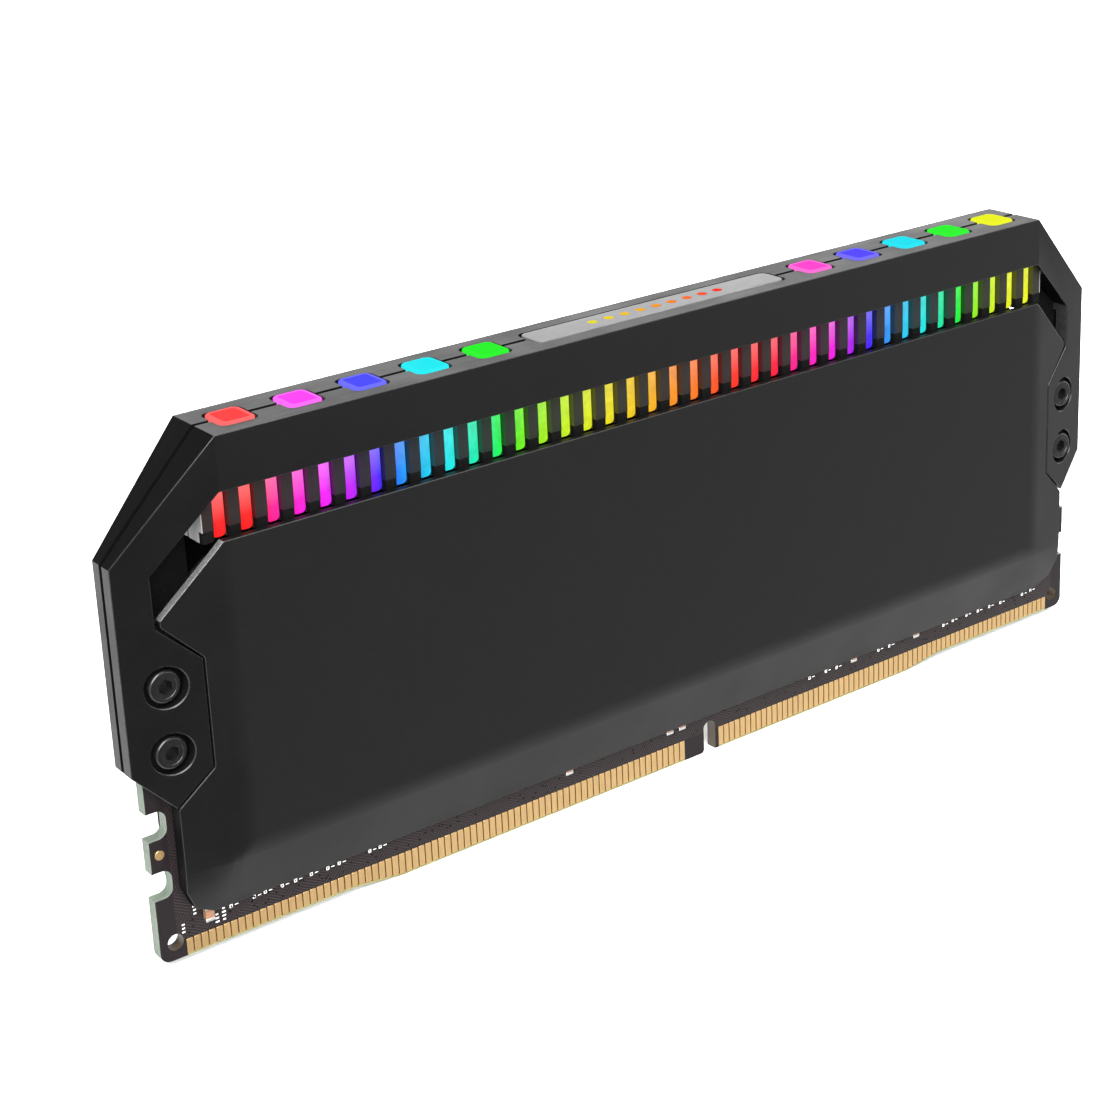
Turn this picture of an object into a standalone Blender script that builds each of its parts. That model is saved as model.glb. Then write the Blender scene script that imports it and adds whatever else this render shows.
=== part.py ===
"""Desktop memory module with a taller board, two heat spreaders and a lit top bar.

The module stands on its contact edge. X runs along the board, the front looks
towards -Y, and Z = 0 is the lowest line of the contact edge.
"""

import math

import bmesh
import bpy

MM = 0.001

# Circuit board
BOARD_LENGTH = 133.35 * MM
BOARD_THICKNESS = 1.4 * MM
BOARD_TOP = 42.0 * MM
BOARD_SHOULDER = 35.0 * MM        # where the board's upper corners start
BOARD_TOP_HALF = 57.0 * MM        # half length of the top edge
BOARD_CORNER = 1.0 * MM
EDGE_RISE = 0.75 * MM             # the contact edge is higher at its two ends
EDGE_RISE_OUTER = 22.95 * MM      # from the board's end, where the rise stops
EDGE_RISE_INNER = 28.9 * MM
KEY_CENTRE = 5.48 * MM
KEY_WIDTH = 1.7 * MM
KEY_DEPTH = 3.85 * MM
LATCH_NOTCHES = ((8.0 * MM, 11.0 * MM), (14.6 * MM, 17.6 * MM))
LATCH_NOTCH_DEPTH = 2.1 * MM
LATCH_NOTCH_RADIUS = 1.0 * MM
TOOLING_HOLE_RADIUS = 0.9 * MM
TOOLING_HOLE_INSET = 1.81 * MM
TOOLING_HOLE_HEIGHT = 2.75 * MM

# Memory chips and thermal pads
CHIP_OFFSETS = tuple((12.5 + 14.2 * step) * MM for step in range(4))
CHIP_WIDTH = 7.5 * MM
CHIP_HEIGHT = 11.0 * MM
CHIP_LEVEL = 20.5 * MM
CHIP_STANDOFF = 0.3 * MM
CHIP_BODY = 0.8 * MM
HUB_SIZE = 3.0 * MM
HUB_BODY = 0.6 * MM
PAD_HALF_LENGTH = 59.4 * MM
PAD_BOTTOM = 14.0 * MM
PAD_TOP = 27.0 * MM
PAD_OUTER = 2.33 * MM             # distance of a pad's outer face from the board's middle

# Frame halves: a top bar with two bent legs that thin towards the ends
FRAME_DEPTH = 4.21 * MM
FRAME_END_DEPTH = 1.79 * MM
FRAME_CREASE = 57.12 * MM
FRAME_HALF_LENGTH = 68.17 * MM
FRAME_TOP = 55.72 * MM
FRAME_SHOULDER = 44.37 * MM
FRAME_BAR_BOTTOM = 50.0 * MM
LEG_BOTTOM = 22.56 * MM
LEG_TIP = (64.06 * MM, 18.27 * MM)
LEG_INNER = 60.14 * MM
LEG_INNER_LOW = 21.84 * MM
LEG_INNER_HIGH = 33.49 * MM
WINDOW_EDGE = 64.41 * MM
WINDOW_LOW = 37.49 * MM
WINDOW_HIGH = 42.89 * MM
FRAME_CHAMFER = 0.15 * MM
SEAM_HALF = 0.3 * MM              # half the gap between the two halves
BOARD_CLEARANCE = 0.1 * MM
BAR_WALL = 0.9 * MM
COMB_POCKET_HALF = 58.95 * MM
COMB_POCKET_TOP = 51.6 * MM
LAMP_POCKET_HALF = 56.4 * MM
LAMP_POCKET_TOP = 54.5 * MM

# Heat spreaders
SPREADER_TOP = 45.0 * MM
SPREADER_TOP_HALF = 57.2 * MM
SPREADER_HALF_LENGTH = 63.9 * MM
SPREADER_CHAMFER_LOW = 38.2 * MM
SPREADER_END_HEIGHT = 0.7 * MM    # length of the short upright edge in the window
SPREADER_CORNER = (3.2 * MM, 3.65 * MM)
SPREADER_BOTTOM = 5.05 * MM
SPREADER_BACK = 0.95 * MM
SPREADER_POCKET = 2.4 * MM
SPREADER_POCKET_HALF = 59.7 * MM
SPREADER_POCKET_BOTTOM = 11.0 * MM
SPREADER_WALL = 0.85 * MM         # thickness of the hollowed upper part
HOLLOW_BOTTOM = 29.0 * MM
HOLLOW_WAIST = (59.1 * MM, 34.0 * MM)
HOLLOW_END = (62.9 * MM, 37.4 * MM)
LEG_GAP = 0.15 * MM
SIDE_BAND = (56.2 * MM, 63.85 * MM, 1.53 * MM, 2.0 * MM)      # start, end, fall, softness
LOWER_BAND = (13.2 * MM, 5.05 * MM, 2.7 * MM, 2.4 * MM)

# Fin combs and light guide
SLOT_COUNT = 39
SLOT_PITCH = 2.979 * MM
FIN_WIDTH = 1.3 * MM
FIN_BOTTOM = 45.9 * MM
FIN_DEPTH = 3.0 * MM
FIN_CORE_BOTTOM = 44.7 * MM       # the fins reach lower behind their front step
FIN_CORE_DEPTH = 2.25 * MM
COMB_SPLIT = 0.15 * MM            # half the gap between the two combs
COMB_RAIL_BOTTOM = 50.3 * MM
COMB_RAIL_TOP = 51.3 * MM
COMB_CHANNEL_HALF = 2.6 * MM
COMB_CHANNEL_BOTTOM = 50.0 * MM
GUIDE_DEPTH = 2.3 * MM
GUIDE_BOTTOM = 44.8 * MM
GUIDE_RAIL_BOTTOM = 50.2 * MM
GUIDE_RAIL_TOP = 51.2 * MM
TOOTH_WIDTH = 1.52 * MM
TOOTH_RADIUS = 0.4 * MM

# Light caps, name plate and lamp board
CAP_PITCH = 7.55 * MM
CAP_FIRST = 22.9 * MM
CAP_PER_SIDE = 5
CAP_SIZE = (4.2 * MM, 4.7 * MM)
CAP_RADIUS = 0.85 * MM
CAP_TOP = 55.87 * MM
CAP_BOTTOM = 53.2 * MM
CAP_EDGE = 0.22 * MM
CAP_GAP = 0.25 * MM
PLATE_SIZE = (35.0 * MM, 4.3 * MM)
PLATE_RADIUS = 0.95 * MM
PLATE_TOP = 55.78 * MM
PLATE_EDGE = 0.12 * MM
LAMP_BOARD_SIZE = (112.2 * MM, 5.2 * MM)
LAMP_BOARD_RANGE = (51.5 * MM, 52.1 * MM)
LAMP_SIZE = 1.6 * MM
LAMP_RANGE = (52.15 * MM, 52.75 * MM)
PLATE_LAMP_OFFSET = 8.0 * MM
LINK_SIZE = (5.0 * MM, 1.6 * MM)
LINK_RANGE = (42.15 * MM, 51.3 * MM)
LINK_PASSAGE = (5.7 * MM, 2.3 * MM)

# Screws and threaded spacers
SCREW_OFFSET = 63.93 * MM
SCREW_LEVELS = (31.26 * MM, 24.19 * MM)
COUNTERBORE_RADIUS = 2.175 * MM
COUNTERBORE_FLOOR = 1.5 * MM
HEAD_RADIUS = 1.72 * MM
HEAD_RANGE = (1.55 * MM, 2.55 * MM)
HEAD_EDGE = 0.18 * MM
DISH_RADIUS = 1.3 * MM
DISH_DEPTH = 0.12 * MM
SOCKET_RADIUS = 0.8 * MM
SOCKET_FLOOR = 1.85 * MM
SHANK_RADIUS = 0.8 * MM
SHANK_HOLE_RADIUS = 0.95 * MM
SHANK_END = 0.15 * MM
SPACER_RADIUS = 1.4 * MM
SPACER_BORE = 0.85 * MM
SPACER_HALF = 0.72 * MM
SPACER_HOLE_RADIUS = 1.6 * MM

ROUND_STEPS = 28
REACH = 30.0 * MM                 # how far a cutter runs past what it cuts
OVERLAP = 1.0 * MM                # how far it runs into the next cutter

FRONT, REAR = -1, 1

FINISHES = {
    "solder_mask": ((0.012, 0.010, 0.012), 0.45, 0.0),
    "chip_resin": ((0.015, 0.015, 0.016), 0.6, 0.0),
    "thermal_pad": ((0.35, 0.38, 0.42), 0.8, 0.0),
    "black_aluminium": ((0.022, 0.022, 0.023), 0.42, 0.3),
    "fin_metal": ((0.05, 0.05, 0.05), 0.4, 0.8),
    "light_guide": ((0.85, 0.85, 0.87), 0.3, 0.0),
    "lamp_cap": ((0.9, 0.9, 0.92), 0.25, 0.0),
    "plate": ((0.5, 0.5, 0.5), 0.4, 0.0),
    "lamp_board": ((0.7, 0.7, 0.68), 0.5, 0.0),
    "lamp": ((0.9, 0.88, 0.75), 0.35, 0.0),
    "connector": ((0.03, 0.03, 0.03), 0.5, 0.0),
    "screw_steel": ((0.03, 0.03, 0.03), 0.3, 0.9),
    "brass": ((0.7, 0.5, 0.22), 0.35, 1.0),
}


def clear_scene():
    for obj in list(bpy.data.objects):
        bpy.data.objects.remove(obj, do_unlink=True)


def make_materials():
    materials = {}
    for name, (colour, roughness, metallic) in FINISHES.items():
        material = bpy.data.materials.new(name)
        material.use_nodes = True
        shader = material.node_tree.nodes["Principled BSDF"]
        shader.inputs["Base Color"].default_value = (*colour, 1.0)
        shader.inputs["Roughness"].default_value = roughness
        shader.inputs["Metallic"].default_value = metallic
        materials[name] = material
    return materials


def arc(centre_u, centre_v, radius, start, end, steps):
    """Points along an arc, angles in degrees, both ends included."""
    points = []
    for step in range(steps + 1):
        angle = math.radians(start + (end - start) * step / steps)
        points.append((centre_u + radius * math.cos(angle), centre_v + radius * math.sin(angle)))
    return points


def circle(centre_u, centre_v, radius, steps=ROUND_STEPS, turn=0.0):
    return arc(centre_u, centre_v, radius, turn, turn + 360.0, steps)[:-1]


def rounded_rectangle(centre_u, centre_v, width, height, radius, steps=5):
    half_u = width / 2 - radius
    half_v = height / 2 - radius
    points = []
    for corner, (sign_u, sign_v) in enumerate(((1, 1), (-1, 1), (-1, -1), (1, -1))):
        start = 90.0 * corner
        points += arc(centre_u + sign_u * half_u, centre_v + sign_v * half_v, radius,
                      start, start + 90.0, steps)
    return points


def add_rings(bm, rings):
    """Close a body through rings of matching points, with a flat face at each end."""
    loops = [[bm.verts.new(point) for point in ring] for ring in rings]
    for lower, upper in zip(loops, loops[1:]):
        for index in range(len(lower)):
            following = (index + 1) % len(lower)
            bm.faces.new((lower[index], lower[following], upper[following], upper[index]))
    bm.faces.new(loops[0])
    bm.faces.new(loops[-1])


def add_depth_prism(bm, outline, near, far):
    """An outline in X-Z, carried along Y."""
    add_rings(bm, [[(x, y, z) for x, z in outline] for y in (near, far)])


def add_column(bm, outline, low, high):
    """An outline in X-Y, carried along Z."""
    add_rings(bm, [[(x, y, z) for x, y in outline] for z in (low, high)])


def add_box(bm, centre_x, half_x, near, far, low, high):
    outline = [(centre_x - half_x, low), (centre_x + half_x, low),
               (centre_x + half_x, high), (centre_x - half_x, high)]
    add_depth_prism(bm, outline, near, far)


def slab(cells, near, far):
    """A closed body over flat X-Z cells that share edges, from near(x, z) to far(x, z)."""
    bm = bmesh.new()
    pairs = {}
    for point in (corner for cell in cells for corner in cell):
        if point not in pairs:
            x, z = point
            pairs[point] = (bm.verts.new((x, near(x, z), z)), bm.verts.new((x, far(x, z), z)))
    border = {}
    for cell in cells:
        bm.faces.new([pairs[point][0] for point in cell])
        bm.faces.new([pairs[point][1] for point in reversed(cell)])
        for edge in zip(cell, cell[1:] + cell[:1]):
            border.setdefault(frozenset(edge), []).append(edge)
    for edges in border.values():
        if len(edges) == 1:
            first, second = edges[0]
            bm.faces.new((pairs[second][0], pairs[first][0], pairs[first][1], pairs[second][1]))
    return bm


def make_object(name, bm, material, rounded=False):
    bmesh.ops.recalc_face_normals(bm, faces=bm.faces)
    mesh = bpy.data.meshes.new(name)
    bm.to_mesh(mesh)
    bm.free()
    mesh.materials.append(material)
    if rounded:
        mesh.shade_smooth()
        mesh.set_sharp_from_angle(angle=math.radians(30.0))
    obj = bpy.data.objects.new(name, mesh)
    bpy.context.scene.collection.objects.link(obj)
    return obj


def carve(obj, label, bm, operation="DIFFERENCE"):
    """Cut a body by a hidden cutter, or keep what lies inside it."""
    bmesh.ops.recalc_face_normals(bm, faces=bm.faces)
    mesh = bpy.data.meshes.new(label)
    bm.to_mesh(mesh)
    bm.free()
    cutter = bpy.data.objects.new(label, mesh)
    cutter.hide_render = True
    cutter.display_type = "WIRE"
    bpy.context.scene.collection.objects.link(cutter)
    modifier = obj.modifiers.new(label, "BOOLEAN")
    modifier.operation = operation
    modifier.solver = "EXACT"
    modifier.object = cutter


def mirrored(points):
    """The same outline on the other side of the middle, in the opposite order."""
    return [(-x, z) for x, z in reversed(points)]


# ---------------------------------------------------------------- circuit board

def latch_side():
    """The board's right end, from the lower notch to above the upper one."""
    end = BOARD_LENGTH / 2
    inner = end - LATCH_NOTCH_DEPTH
    points = []
    for low, high in LATCH_NOTCHES:
        points.append((end, low))
        points += arc(inner + LATCH_NOTCH_RADIUS, low + LATCH_NOTCH_RADIUS,
                      LATCH_NOTCH_RADIUS, 270.0, 180.0, 4)
        points += arc(inner + LATCH_NOTCH_RADIUS, high - LATCH_NOTCH_RADIUS,
                      LATCH_NOTCH_RADIUS, 180.0, 90.0, 4)
        points.append((end, high))
    return points


def board_outline():
    end = BOARD_LENGTH / 2
    right = [(end - EDGE_RISE_INNER, 0.0), (end - EDGE_RISE_OUTER, EDGE_RISE),
             (end - BOARD_CORNER, EDGE_RISE), (end, EDGE_RISE + BOARD_CORNER)]
    right += latch_side()
    right += [(end, BOARD_SHOULDER), (BOARD_TOP_HALF, BOARD_TOP)]
    half_key = KEY_WIDTH / 2
    key = [(KEY_CENTRE - half_key, 0.0)]
    key += arc(KEY_CENTRE, KEY_DEPTH - half_key, half_key, 180.0, 0.0, 8)
    key.append((KEY_CENTRE + half_key, 0.0))
    return key + right + mirrored(right)


def make_circuit_board(materials):
    half = BOARD_THICKNESS / 2
    bm = bmesh.new()
    add_depth_prism(bm, board_outline(), -half, half)
    board = make_object("circuit_board", bm, materials["solder_mask"])
    holes = bmesh.new()
    for sign in (-1, 1):
        tooling = circle(sign * (BOARD_LENGTH / 2 - TOOLING_HOLE_INSET), TOOLING_HOLE_HEIGHT,
                         TOOLING_HOLE_RADIUS)
        add_depth_prism(holes, tooling, -REACH, REACH)
        for level in SCREW_LEVELS:
            spacer_hole = circle(sign * SCREW_OFFSET, level, SPACER_HOLE_RADIUS)
            add_depth_prism(holes, spacer_hole, -REACH, REACH)
    carve(board, "board_holes", holes)


def make_chips(materials):
    near = -BOARD_THICKNESS / 2 - CHIP_STANDOFF
    places = sorted([-offset for offset in CHIP_OFFSETS] + list(CHIP_OFFSETS))
    for number, place in enumerate(places, start=1):
        bm = bmesh.new()
        add_box(bm, place, CHIP_WIDTH / 2, near - CHIP_BODY, near,
                CHIP_LEVEL - CHIP_HEIGHT / 2, CHIP_LEVEL + CHIP_HEIGHT / 2)
        make_object(f"memory_chip_{number}", bm, materials["chip_resin"])
    bm = bmesh.new()
    add_box(bm, 0.0, HUB_SIZE / 2, near - HUB_BODY, near,
            CHIP_LEVEL - HUB_SIZE / 2, CHIP_LEVEL + HUB_SIZE / 2)
    make_object("identity_chip", bm, materials["chip_resin"])


def make_thermal_pads(materials):
    chip_face = BOARD_THICKNESS / 2 + CHIP_STANDOFF + CHIP_BODY
    pad_clearance = 0.05 * MM
    for side, name, inner in ((FRONT, "front_thermal_pad", chip_face),
                              (REAR, "rear_thermal_pad", BOARD_THICKNESS / 2)):
        bm = bmesh.new()
        add_box(bm, 0.0, PAD_HALF_LENGTH, side * (inner + pad_clearance), side * PAD_OUTER,
                PAD_BOTTOM, PAD_TOP)
        make_object(name, bm, materials["thermal_pad"])


# ---------------------------------------------------------------- heat spreaders

def band_fall(distance, run, fall, softness):
    """How far a face has dropped, past a soft crease into a straight slope."""
    slope = fall / (run - softness / 2)
    if distance <= 0.0:
        return 0.0
    if distance < softness:
        return slope * distance ** 2 / (2 * softness)
    return slope * (distance - softness / 2)


def spreader_depth(x, z):
    """Distance of a spreader's outer face from the board's middle."""
    start, end, fall, softness = SIDE_BAND
    side = band_fall(abs(x) - start, end - start, fall, softness)
    start, end, fall, softness = LOWER_BAND
    lower = band_fall(start - z, start - end, fall, softness)
    return FRAME_DEPTH - (side ** 3 + lower ** 3) ** (1 / 3)


def spreader_outline():
    """The spreader's edge, which follows the frame's leg at a small gap."""
    gap = LEG_GAP
    slant = gap * math.tan(math.radians(22.5))
    tip_x, tip_z = LEG_TIP
    corner_run, corner_rise = SPREADER_CORNER
    right = [
        (SPREADER_HALF_LENGTH - corner_run, SPREADER_BOTTOM),
        (SPREADER_HALF_LENGTH - corner_run / 3, SPREADER_BOTTOM + corner_rise / 3),
        (SPREADER_HALF_LENGTH, SPREADER_BOTTOM + corner_rise),
        (SPREADER_HALF_LENGTH, tip_z - gap - slant),
        (LEG_INNER - gap, LEG_INNER_LOW - slant),
        (LEG_INNER - gap, LEG_INNER_HIGH + slant),
        (SPREADER_HALF_LENGTH, SPREADER_CHAMFER_LOW - SPREADER_END_HEIGHT),
        (SPREADER_HALF_LENGTH, SPREADER_CHAMFER_LOW),
        (SPREADER_TOP_HALF, SPREADER_TOP),
    ]
    return right + mirrored(right)


def band_lines(start, end, steps):
    return [start + (end - start) * step / steps for step in range(steps + 1)]


def spreader_cells():
    overlap = 2.0 * MM
    side_lines = band_lines(SIDE_BAND[0], SIDE_BAND[0] + SIDE_BAND[3], 3)
    side_lines.append(SPREADER_HALF_LENGTH + overlap)
    x_lines = [-x for x in reversed(side_lines)] + side_lines
    lower_lines = band_lines(LOWER_BAND[0] - LOWER_BAND[3], LOWER_BAND[0], 3)
    z_lines = [SPREADER_BOTTOM - overlap] + lower_lines + [SPREADER_TOP + overlap]
    cells = []
    for left, right in zip(x_lines, x_lines[1:]):
        for low, high in zip(z_lines, z_lines[1:]):
            cells.append([(left, low), (right, low), (right, high), (left, high)])
    return cells


def hollow_cells():
    """The upper pocket, open at the top edge, in cells that follow the side bands."""
    waist_x, waist_z = HOLLOW_WAIST
    end_x, end_z = HOLLOW_END
    top = SPREADER_TOP + OVERLAP
    lines = band_lines(SIDE_BAND[0], SIDE_BAND[0] + SIDE_BAND[3], 3)
    x_lines = [-x for x in reversed(lines)] + lines
    cells = [[(left, HOLLOW_BOTTOM), (right, HOLLOW_BOTTOM), (right, top), (left, top)]
             for left, right in zip(x_lines, x_lines[1:])]
    waist = [(lines[-1], HOLLOW_BOTTOM), (waist_x, HOLLOW_BOTTOM), (waist_x, waist_z),
             (waist_x, top), (lines[-1], top)]
    end = [(waist_x, waist_z), (end_x, end_z), (end_x, top), (waist_x, top)]
    return cells + [waist, end, mirrored(waist), mirrored(end)]


def make_heat_spreader(name, side, materials):
    bm = slab(spreader_cells(), lambda x, z: side * spreader_depth(x, z),
              lambda x, z: side * SPREADER_BACK / 2)
    spreader = make_object(name, bm, materials["black_aluminium"])
    edge = bmesh.new()
    add_depth_prism(edge, spreader_outline(), side * SPREADER_BACK, side * REACH)
    carve(spreader, name + "_edge", edge, "INTERSECT")
    pocket = bmesh.new()
    add_box(pocket, 0.0, SPREADER_POCKET_HALF, 0.0, side * SPREADER_POCKET,
            SPREADER_POCKET_BOTTOM, SPREADER_TOP + OVERLAP)
    carve(spreader, name + "_pocket", pocket)
    hollow = slab(hollow_cells(), lambda x, z: 0.0,
                  lambda x, z: side * (spreader_depth(x, z) - SPREADER_WALL))
    carve(spreader, name + "_hollow", hollow)


# ---------------------------------------------------------------- frame halves

def end_fraction(x):
    """0 over the bar, rising to 1 at the outer edge of a leg."""
    return max(0.0, (abs(x) - FRAME_CREASE) / (FRAME_HALF_LENGTH - FRAME_CREASE))


def frame_face(x):
    return FRAME_DEPTH + (FRAME_END_DEPTH - FRAME_DEPTH) * end_fraction(x)


def frame_cells():
    leg = [
        (FRAME_CREASE, FRAME_BAR_BOTTOM),
        (WINDOW_EDGE, WINDOW_HIGH),
        (WINDOW_EDGE, WINDOW_LOW),
        (LEG_INNER, LEG_INNER_HIGH),
        (LEG_INNER, LEG_INNER_LOW),
        LEG_TIP,
        (FRAME_HALF_LENGTH, LEG_BOTTOM),
        (FRAME_HALF_LENGTH, FRAME_SHOULDER),
        (FRAME_CREASE, FRAME_TOP),
    ]
    bar = [(-FRAME_CREASE, FRAME_BAR_BOTTOM), (FRAME_CREASE, FRAME_BAR_BOTTOM),
           (FRAME_CREASE, FRAME_TOP), (-FRAME_CREASE, FRAME_TOP)]
    return [bar, leg, mirrored(leg)]


def chamfer_face_border(bm, side, width):
    """Break the sharp edge all round the outer face, but not the crease across it."""
    edges = []
    for edge in bm.edges:
        on_face = all(abs(v.co.y - side * frame_face(v.co.x)) < width / 10 for v in edge.verts)
        is_crease = all(abs(abs(v.co.x) - FRAME_CREASE) < width / 10 for v in edge.verts)
        if on_face and not is_crease:
            edges.append(edge)
    bmesh.ops.bevel(bm, geom=edges, offset=width, segments=1, affect="EDGES")


def cap_places():
    offsets = [CAP_FIRST + CAP_PITCH * step for step in range(CAP_PER_SIDE)]
    return sorted([-offset for offset in offsets] + offsets)


def frame_openings():
    """Holes for the caps and the name plate, through the top of the bar."""
    bm = bmesh.new()
    width, depth = CAP_SIZE
    for place in cap_places():
        outline = rounded_rectangle(place, 0.0, width + 2 * CAP_GAP, depth + 2 * CAP_GAP,
                                    CAP_RADIUS + CAP_GAP)
        add_column(bm, outline, LAMP_POCKET_TOP - OVERLAP, FRAME_TOP + REACH)
    width, depth = PLATE_SIZE
    outline = rounded_rectangle(0.0, 0.0, width + 2 * CAP_GAP, depth + 2 * CAP_GAP,
                                PLATE_RADIUS + CAP_GAP)
    add_column(bm, outline, LAMP_POCKET_TOP - OVERLAP, FRAME_TOP + REACH)
    return bm


def make_frame_half(name, side, materials):
    bm = slab(frame_cells(), lambda x, z: side * frame_face(x), lambda x, z: side * SEAM_HALF)
    bmesh.ops.recalc_face_normals(bm, faces=bm.faces)
    chamfer_face_border(bm, side, FRAME_CHAMFER)
    frame = make_object(name, bm, materials["black_aluminium"])

    wall_inside = side * (FRAME_DEPTH - BAR_WALL)
    comb_pocket = bmesh.new()
    add_box(comb_pocket, 0.0, COMB_POCKET_HALF, -side * OVERLAP, wall_inside,
            BOARD_SHOULDER, COMB_POCKET_TOP)
    carve(frame, name + "_comb_pocket", comb_pocket)
    lamp_pocket = bmesh.new()
    add_box(lamp_pocket, 0.0, LAMP_POCKET_HALF, -side * OVERLAP, wall_inside,
            COMB_POCKET_TOP - OVERLAP, LAMP_POCKET_TOP)
    carve(frame, name + "_lamp_pocket", lamp_pocket)

    board_room = bmesh.new()
    reach = side * (BOARD_THICKNESS / 2 + BOARD_CLEARANCE)
    add_box(board_room, 0.0, BOARD_LENGTH / 2 + BOARD_CLEARANCE, -side * OVERLAP, reach,
            0.0, BOARD_TOP)
    carve(frame, name + "_board_room", board_room)

    shank_holes = bmesh.new()
    counterbores = bmesh.new()
    for sign in (-1, 1):
        for level in SCREW_LEVELS:
            centre = sign * SCREW_OFFSET
            add_depth_prism(shank_holes, circle(centre, level, SHANK_HOLE_RADIUS),
                            0.0, side * REACH)
            add_depth_prism(counterbores, circle(centre, level, COUNTERBORE_RADIUS),
                            side * COUNTERBORE_FLOOR, side * REACH)
    carve(frame, name + "_counterbores", counterbores)
    carve(frame, name + "_shank_holes", shank_holes)
    carve(frame, name + "_top_openings", frame_openings())


# ---------------------------------------------------------------- fins and lights

def slot_places():
    middle = (SLOT_COUNT - 1) / 2
    return [(number - middle) * SLOT_PITCH for number in range(SLOT_COUNT)]


def make_fin_comb(name, side, materials):
    """Half a comb, whose fins step back below their front edge."""
    places = slot_places()
    half_slot = (SLOT_PITCH - FIN_WIDTH) / 2
    end = places[-1] + half_slot + FIN_WIDTH
    bottom = FIN_CORE_BOTTOM
    outline = [(-end, COMB_RAIL_TOP), (-end, bottom)]
    for place in places:
        outline += [(place - half_slot, bottom), (place - half_slot, COMB_RAIL_BOTTOM),
                    (place + half_slot, COMB_RAIL_BOTTOM), (place + half_slot, bottom)]
    outline += [(end, bottom), (end, COMB_RAIL_TOP)]
    bm = bmesh.new()
    add_depth_prism(bm, outline, side * COMB_SPLIT, side * FIN_DEPTH)
    comb = make_object(name, bm, materials["fin_metal"])
    step = bmesh.new()
    add_box(step, 0.0, REACH * 3, side * FIN_CORE_DEPTH, side * REACH, 0.0, FIN_BOTTOM)
    carve(comb, name + "_step", step)
    channel = bmesh.new()
    add_box(channel, 0.0, REACH * 3, -side * OVERLAP, side * COMB_CHANNEL_HALF,
            COMB_CHANNEL_BOTTOM, COMB_RAIL_TOP + REACH)
    carve(comb, name + "_channel", channel)
    passage = bmesh.new()
    width, depth = LINK_PASSAGE
    add_box(passage, 0.0, width / 2, -depth / 2, depth / 2, 0.0, COMB_RAIL_TOP + REACH)
    carve(comb, name + "_passage", passage)


def make_light_guide(materials):
    places = slot_places()
    half = TOOTH_WIDTH / 2
    end = places[-1] + half
    outline = [(-end, GUIDE_RAIL_TOP)]
    for place in places:
        if place != places[0]:
            outline.append((place - half, GUIDE_RAIL_BOTTOM))
        outline += arc(place - half + TOOTH_RADIUS, GUIDE_BOTTOM + TOOTH_RADIUS,
                       TOOTH_RADIUS, 180.0, 270.0, 3)
        outline += arc(place + half - TOOTH_RADIUS, GUIDE_BOTTOM + TOOTH_RADIUS,
                       TOOTH_RADIUS, 270.0, 360.0, 3)
        if place != places[-1]:
            outline.append((place + half, GUIDE_RAIL_BOTTOM))
    outline.append((end, GUIDE_RAIL_TOP))
    bm = bmesh.new()
    add_depth_prism(bm, outline, -GUIDE_DEPTH, GUIDE_DEPTH)
    guide = make_object("light_guide", bm, materials["light_guide"])
    passage = bmesh.new()
    width, depth = LINK_PASSAGE
    add_box(passage, 0.0, width / 2, -depth / 2, depth / 2, 0.0, COMB_RAIL_TOP + REACH)
    carve(guide, "guide_passage", passage)


def make_capped_block(name, place, size, radius, bottom, top, edge, material):
    """A rounded rectangular block with a broken upper edge."""
    width, depth = size
    rings = []
    for level, inset in ((bottom, 0.0), (top - edge, 0.0), (top, edge)):
        ring = rounded_rectangle(place, 0.0, width - 2 * inset, depth - 2 * inset, radius - inset)
        rings.append([(x, y, level) for x, y in ring])
    bm = bmesh.new()
    add_rings(bm, rings)
    make_object(name, bm, material)


def make_lights(materials):
    for number, place in enumerate(cap_places(), start=1):
        make_capped_block(f"light_cap_{number}", place, CAP_SIZE, CAP_RADIUS,
                          CAP_BOTTOM, CAP_TOP, CAP_EDGE, materials["lamp_cap"])
    make_capped_block("name_plate", 0.0, PLATE_SIZE, PLATE_RADIUS,
                      CAP_BOTTOM, PLATE_TOP, PLATE_EDGE, materials["plate"])

    bm = bmesh.new()
    length, width = LAMP_BOARD_SIZE
    add_box(bm, 0.0, length / 2, -width / 2, width / 2, *LAMP_BOARD_RANGE)
    make_object("lamp_board", bm, materials["lamp_board"])

    lamp_places = sorted(cap_places() + [-PLATE_LAMP_OFFSET, PLATE_LAMP_OFFSET])
    for number, place in enumerate(lamp_places, start=1):
        bm = bmesh.new()
        add_box(bm, place, LAMP_SIZE / 2, -LAMP_SIZE / 2, LAMP_SIZE / 2, *LAMP_RANGE)
        make_object(f"lamp_{number}", bm, materials["lamp"])

    bm = bmesh.new()
    width, depth = LINK_SIZE
    add_box(bm, 0.0, width / 2, -depth / 2, depth / 2, *LINK_RANGE)
    make_object("lamp_connector", bm, materials["connector"])


# ---------------------------------------------------------------- screws and spacers

def make_screw(name, side, centre, level, materials):
    """A socket screw whose head has a shallow dish and a hexagon socket."""
    head_base, head_top = HEAD_RANGE
    profile = [(SHANK_RADIUS, SHANK_END), (SHANK_RADIUS, head_base), (HEAD_RADIUS, head_base),
               (HEAD_RADIUS, head_top - HEAD_EDGE), (HEAD_RADIUS - HEAD_EDGE, head_top),
               (DISH_RADIUS, head_top), (DISH_RADIUS - DISH_DEPTH, head_top - DISH_DEPTH)]
    rings = []
    for radius, depth in profile:
        rings.append([(x, side * depth, z) for x, z in circle(centre, level, radius)])
    bm = bmesh.new()
    add_rings(bm, rings)
    screw = make_object(name, bm, materials["screw_steel"], rounded=True)
    socket = bmesh.new()
    add_depth_prism(socket, circle(centre, level, SOCKET_RADIUS, steps=6, turn=30.0),
                    side * SOCKET_FLOOR, side * REACH)
    carve(screw, name + "_socket", socket)


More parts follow.
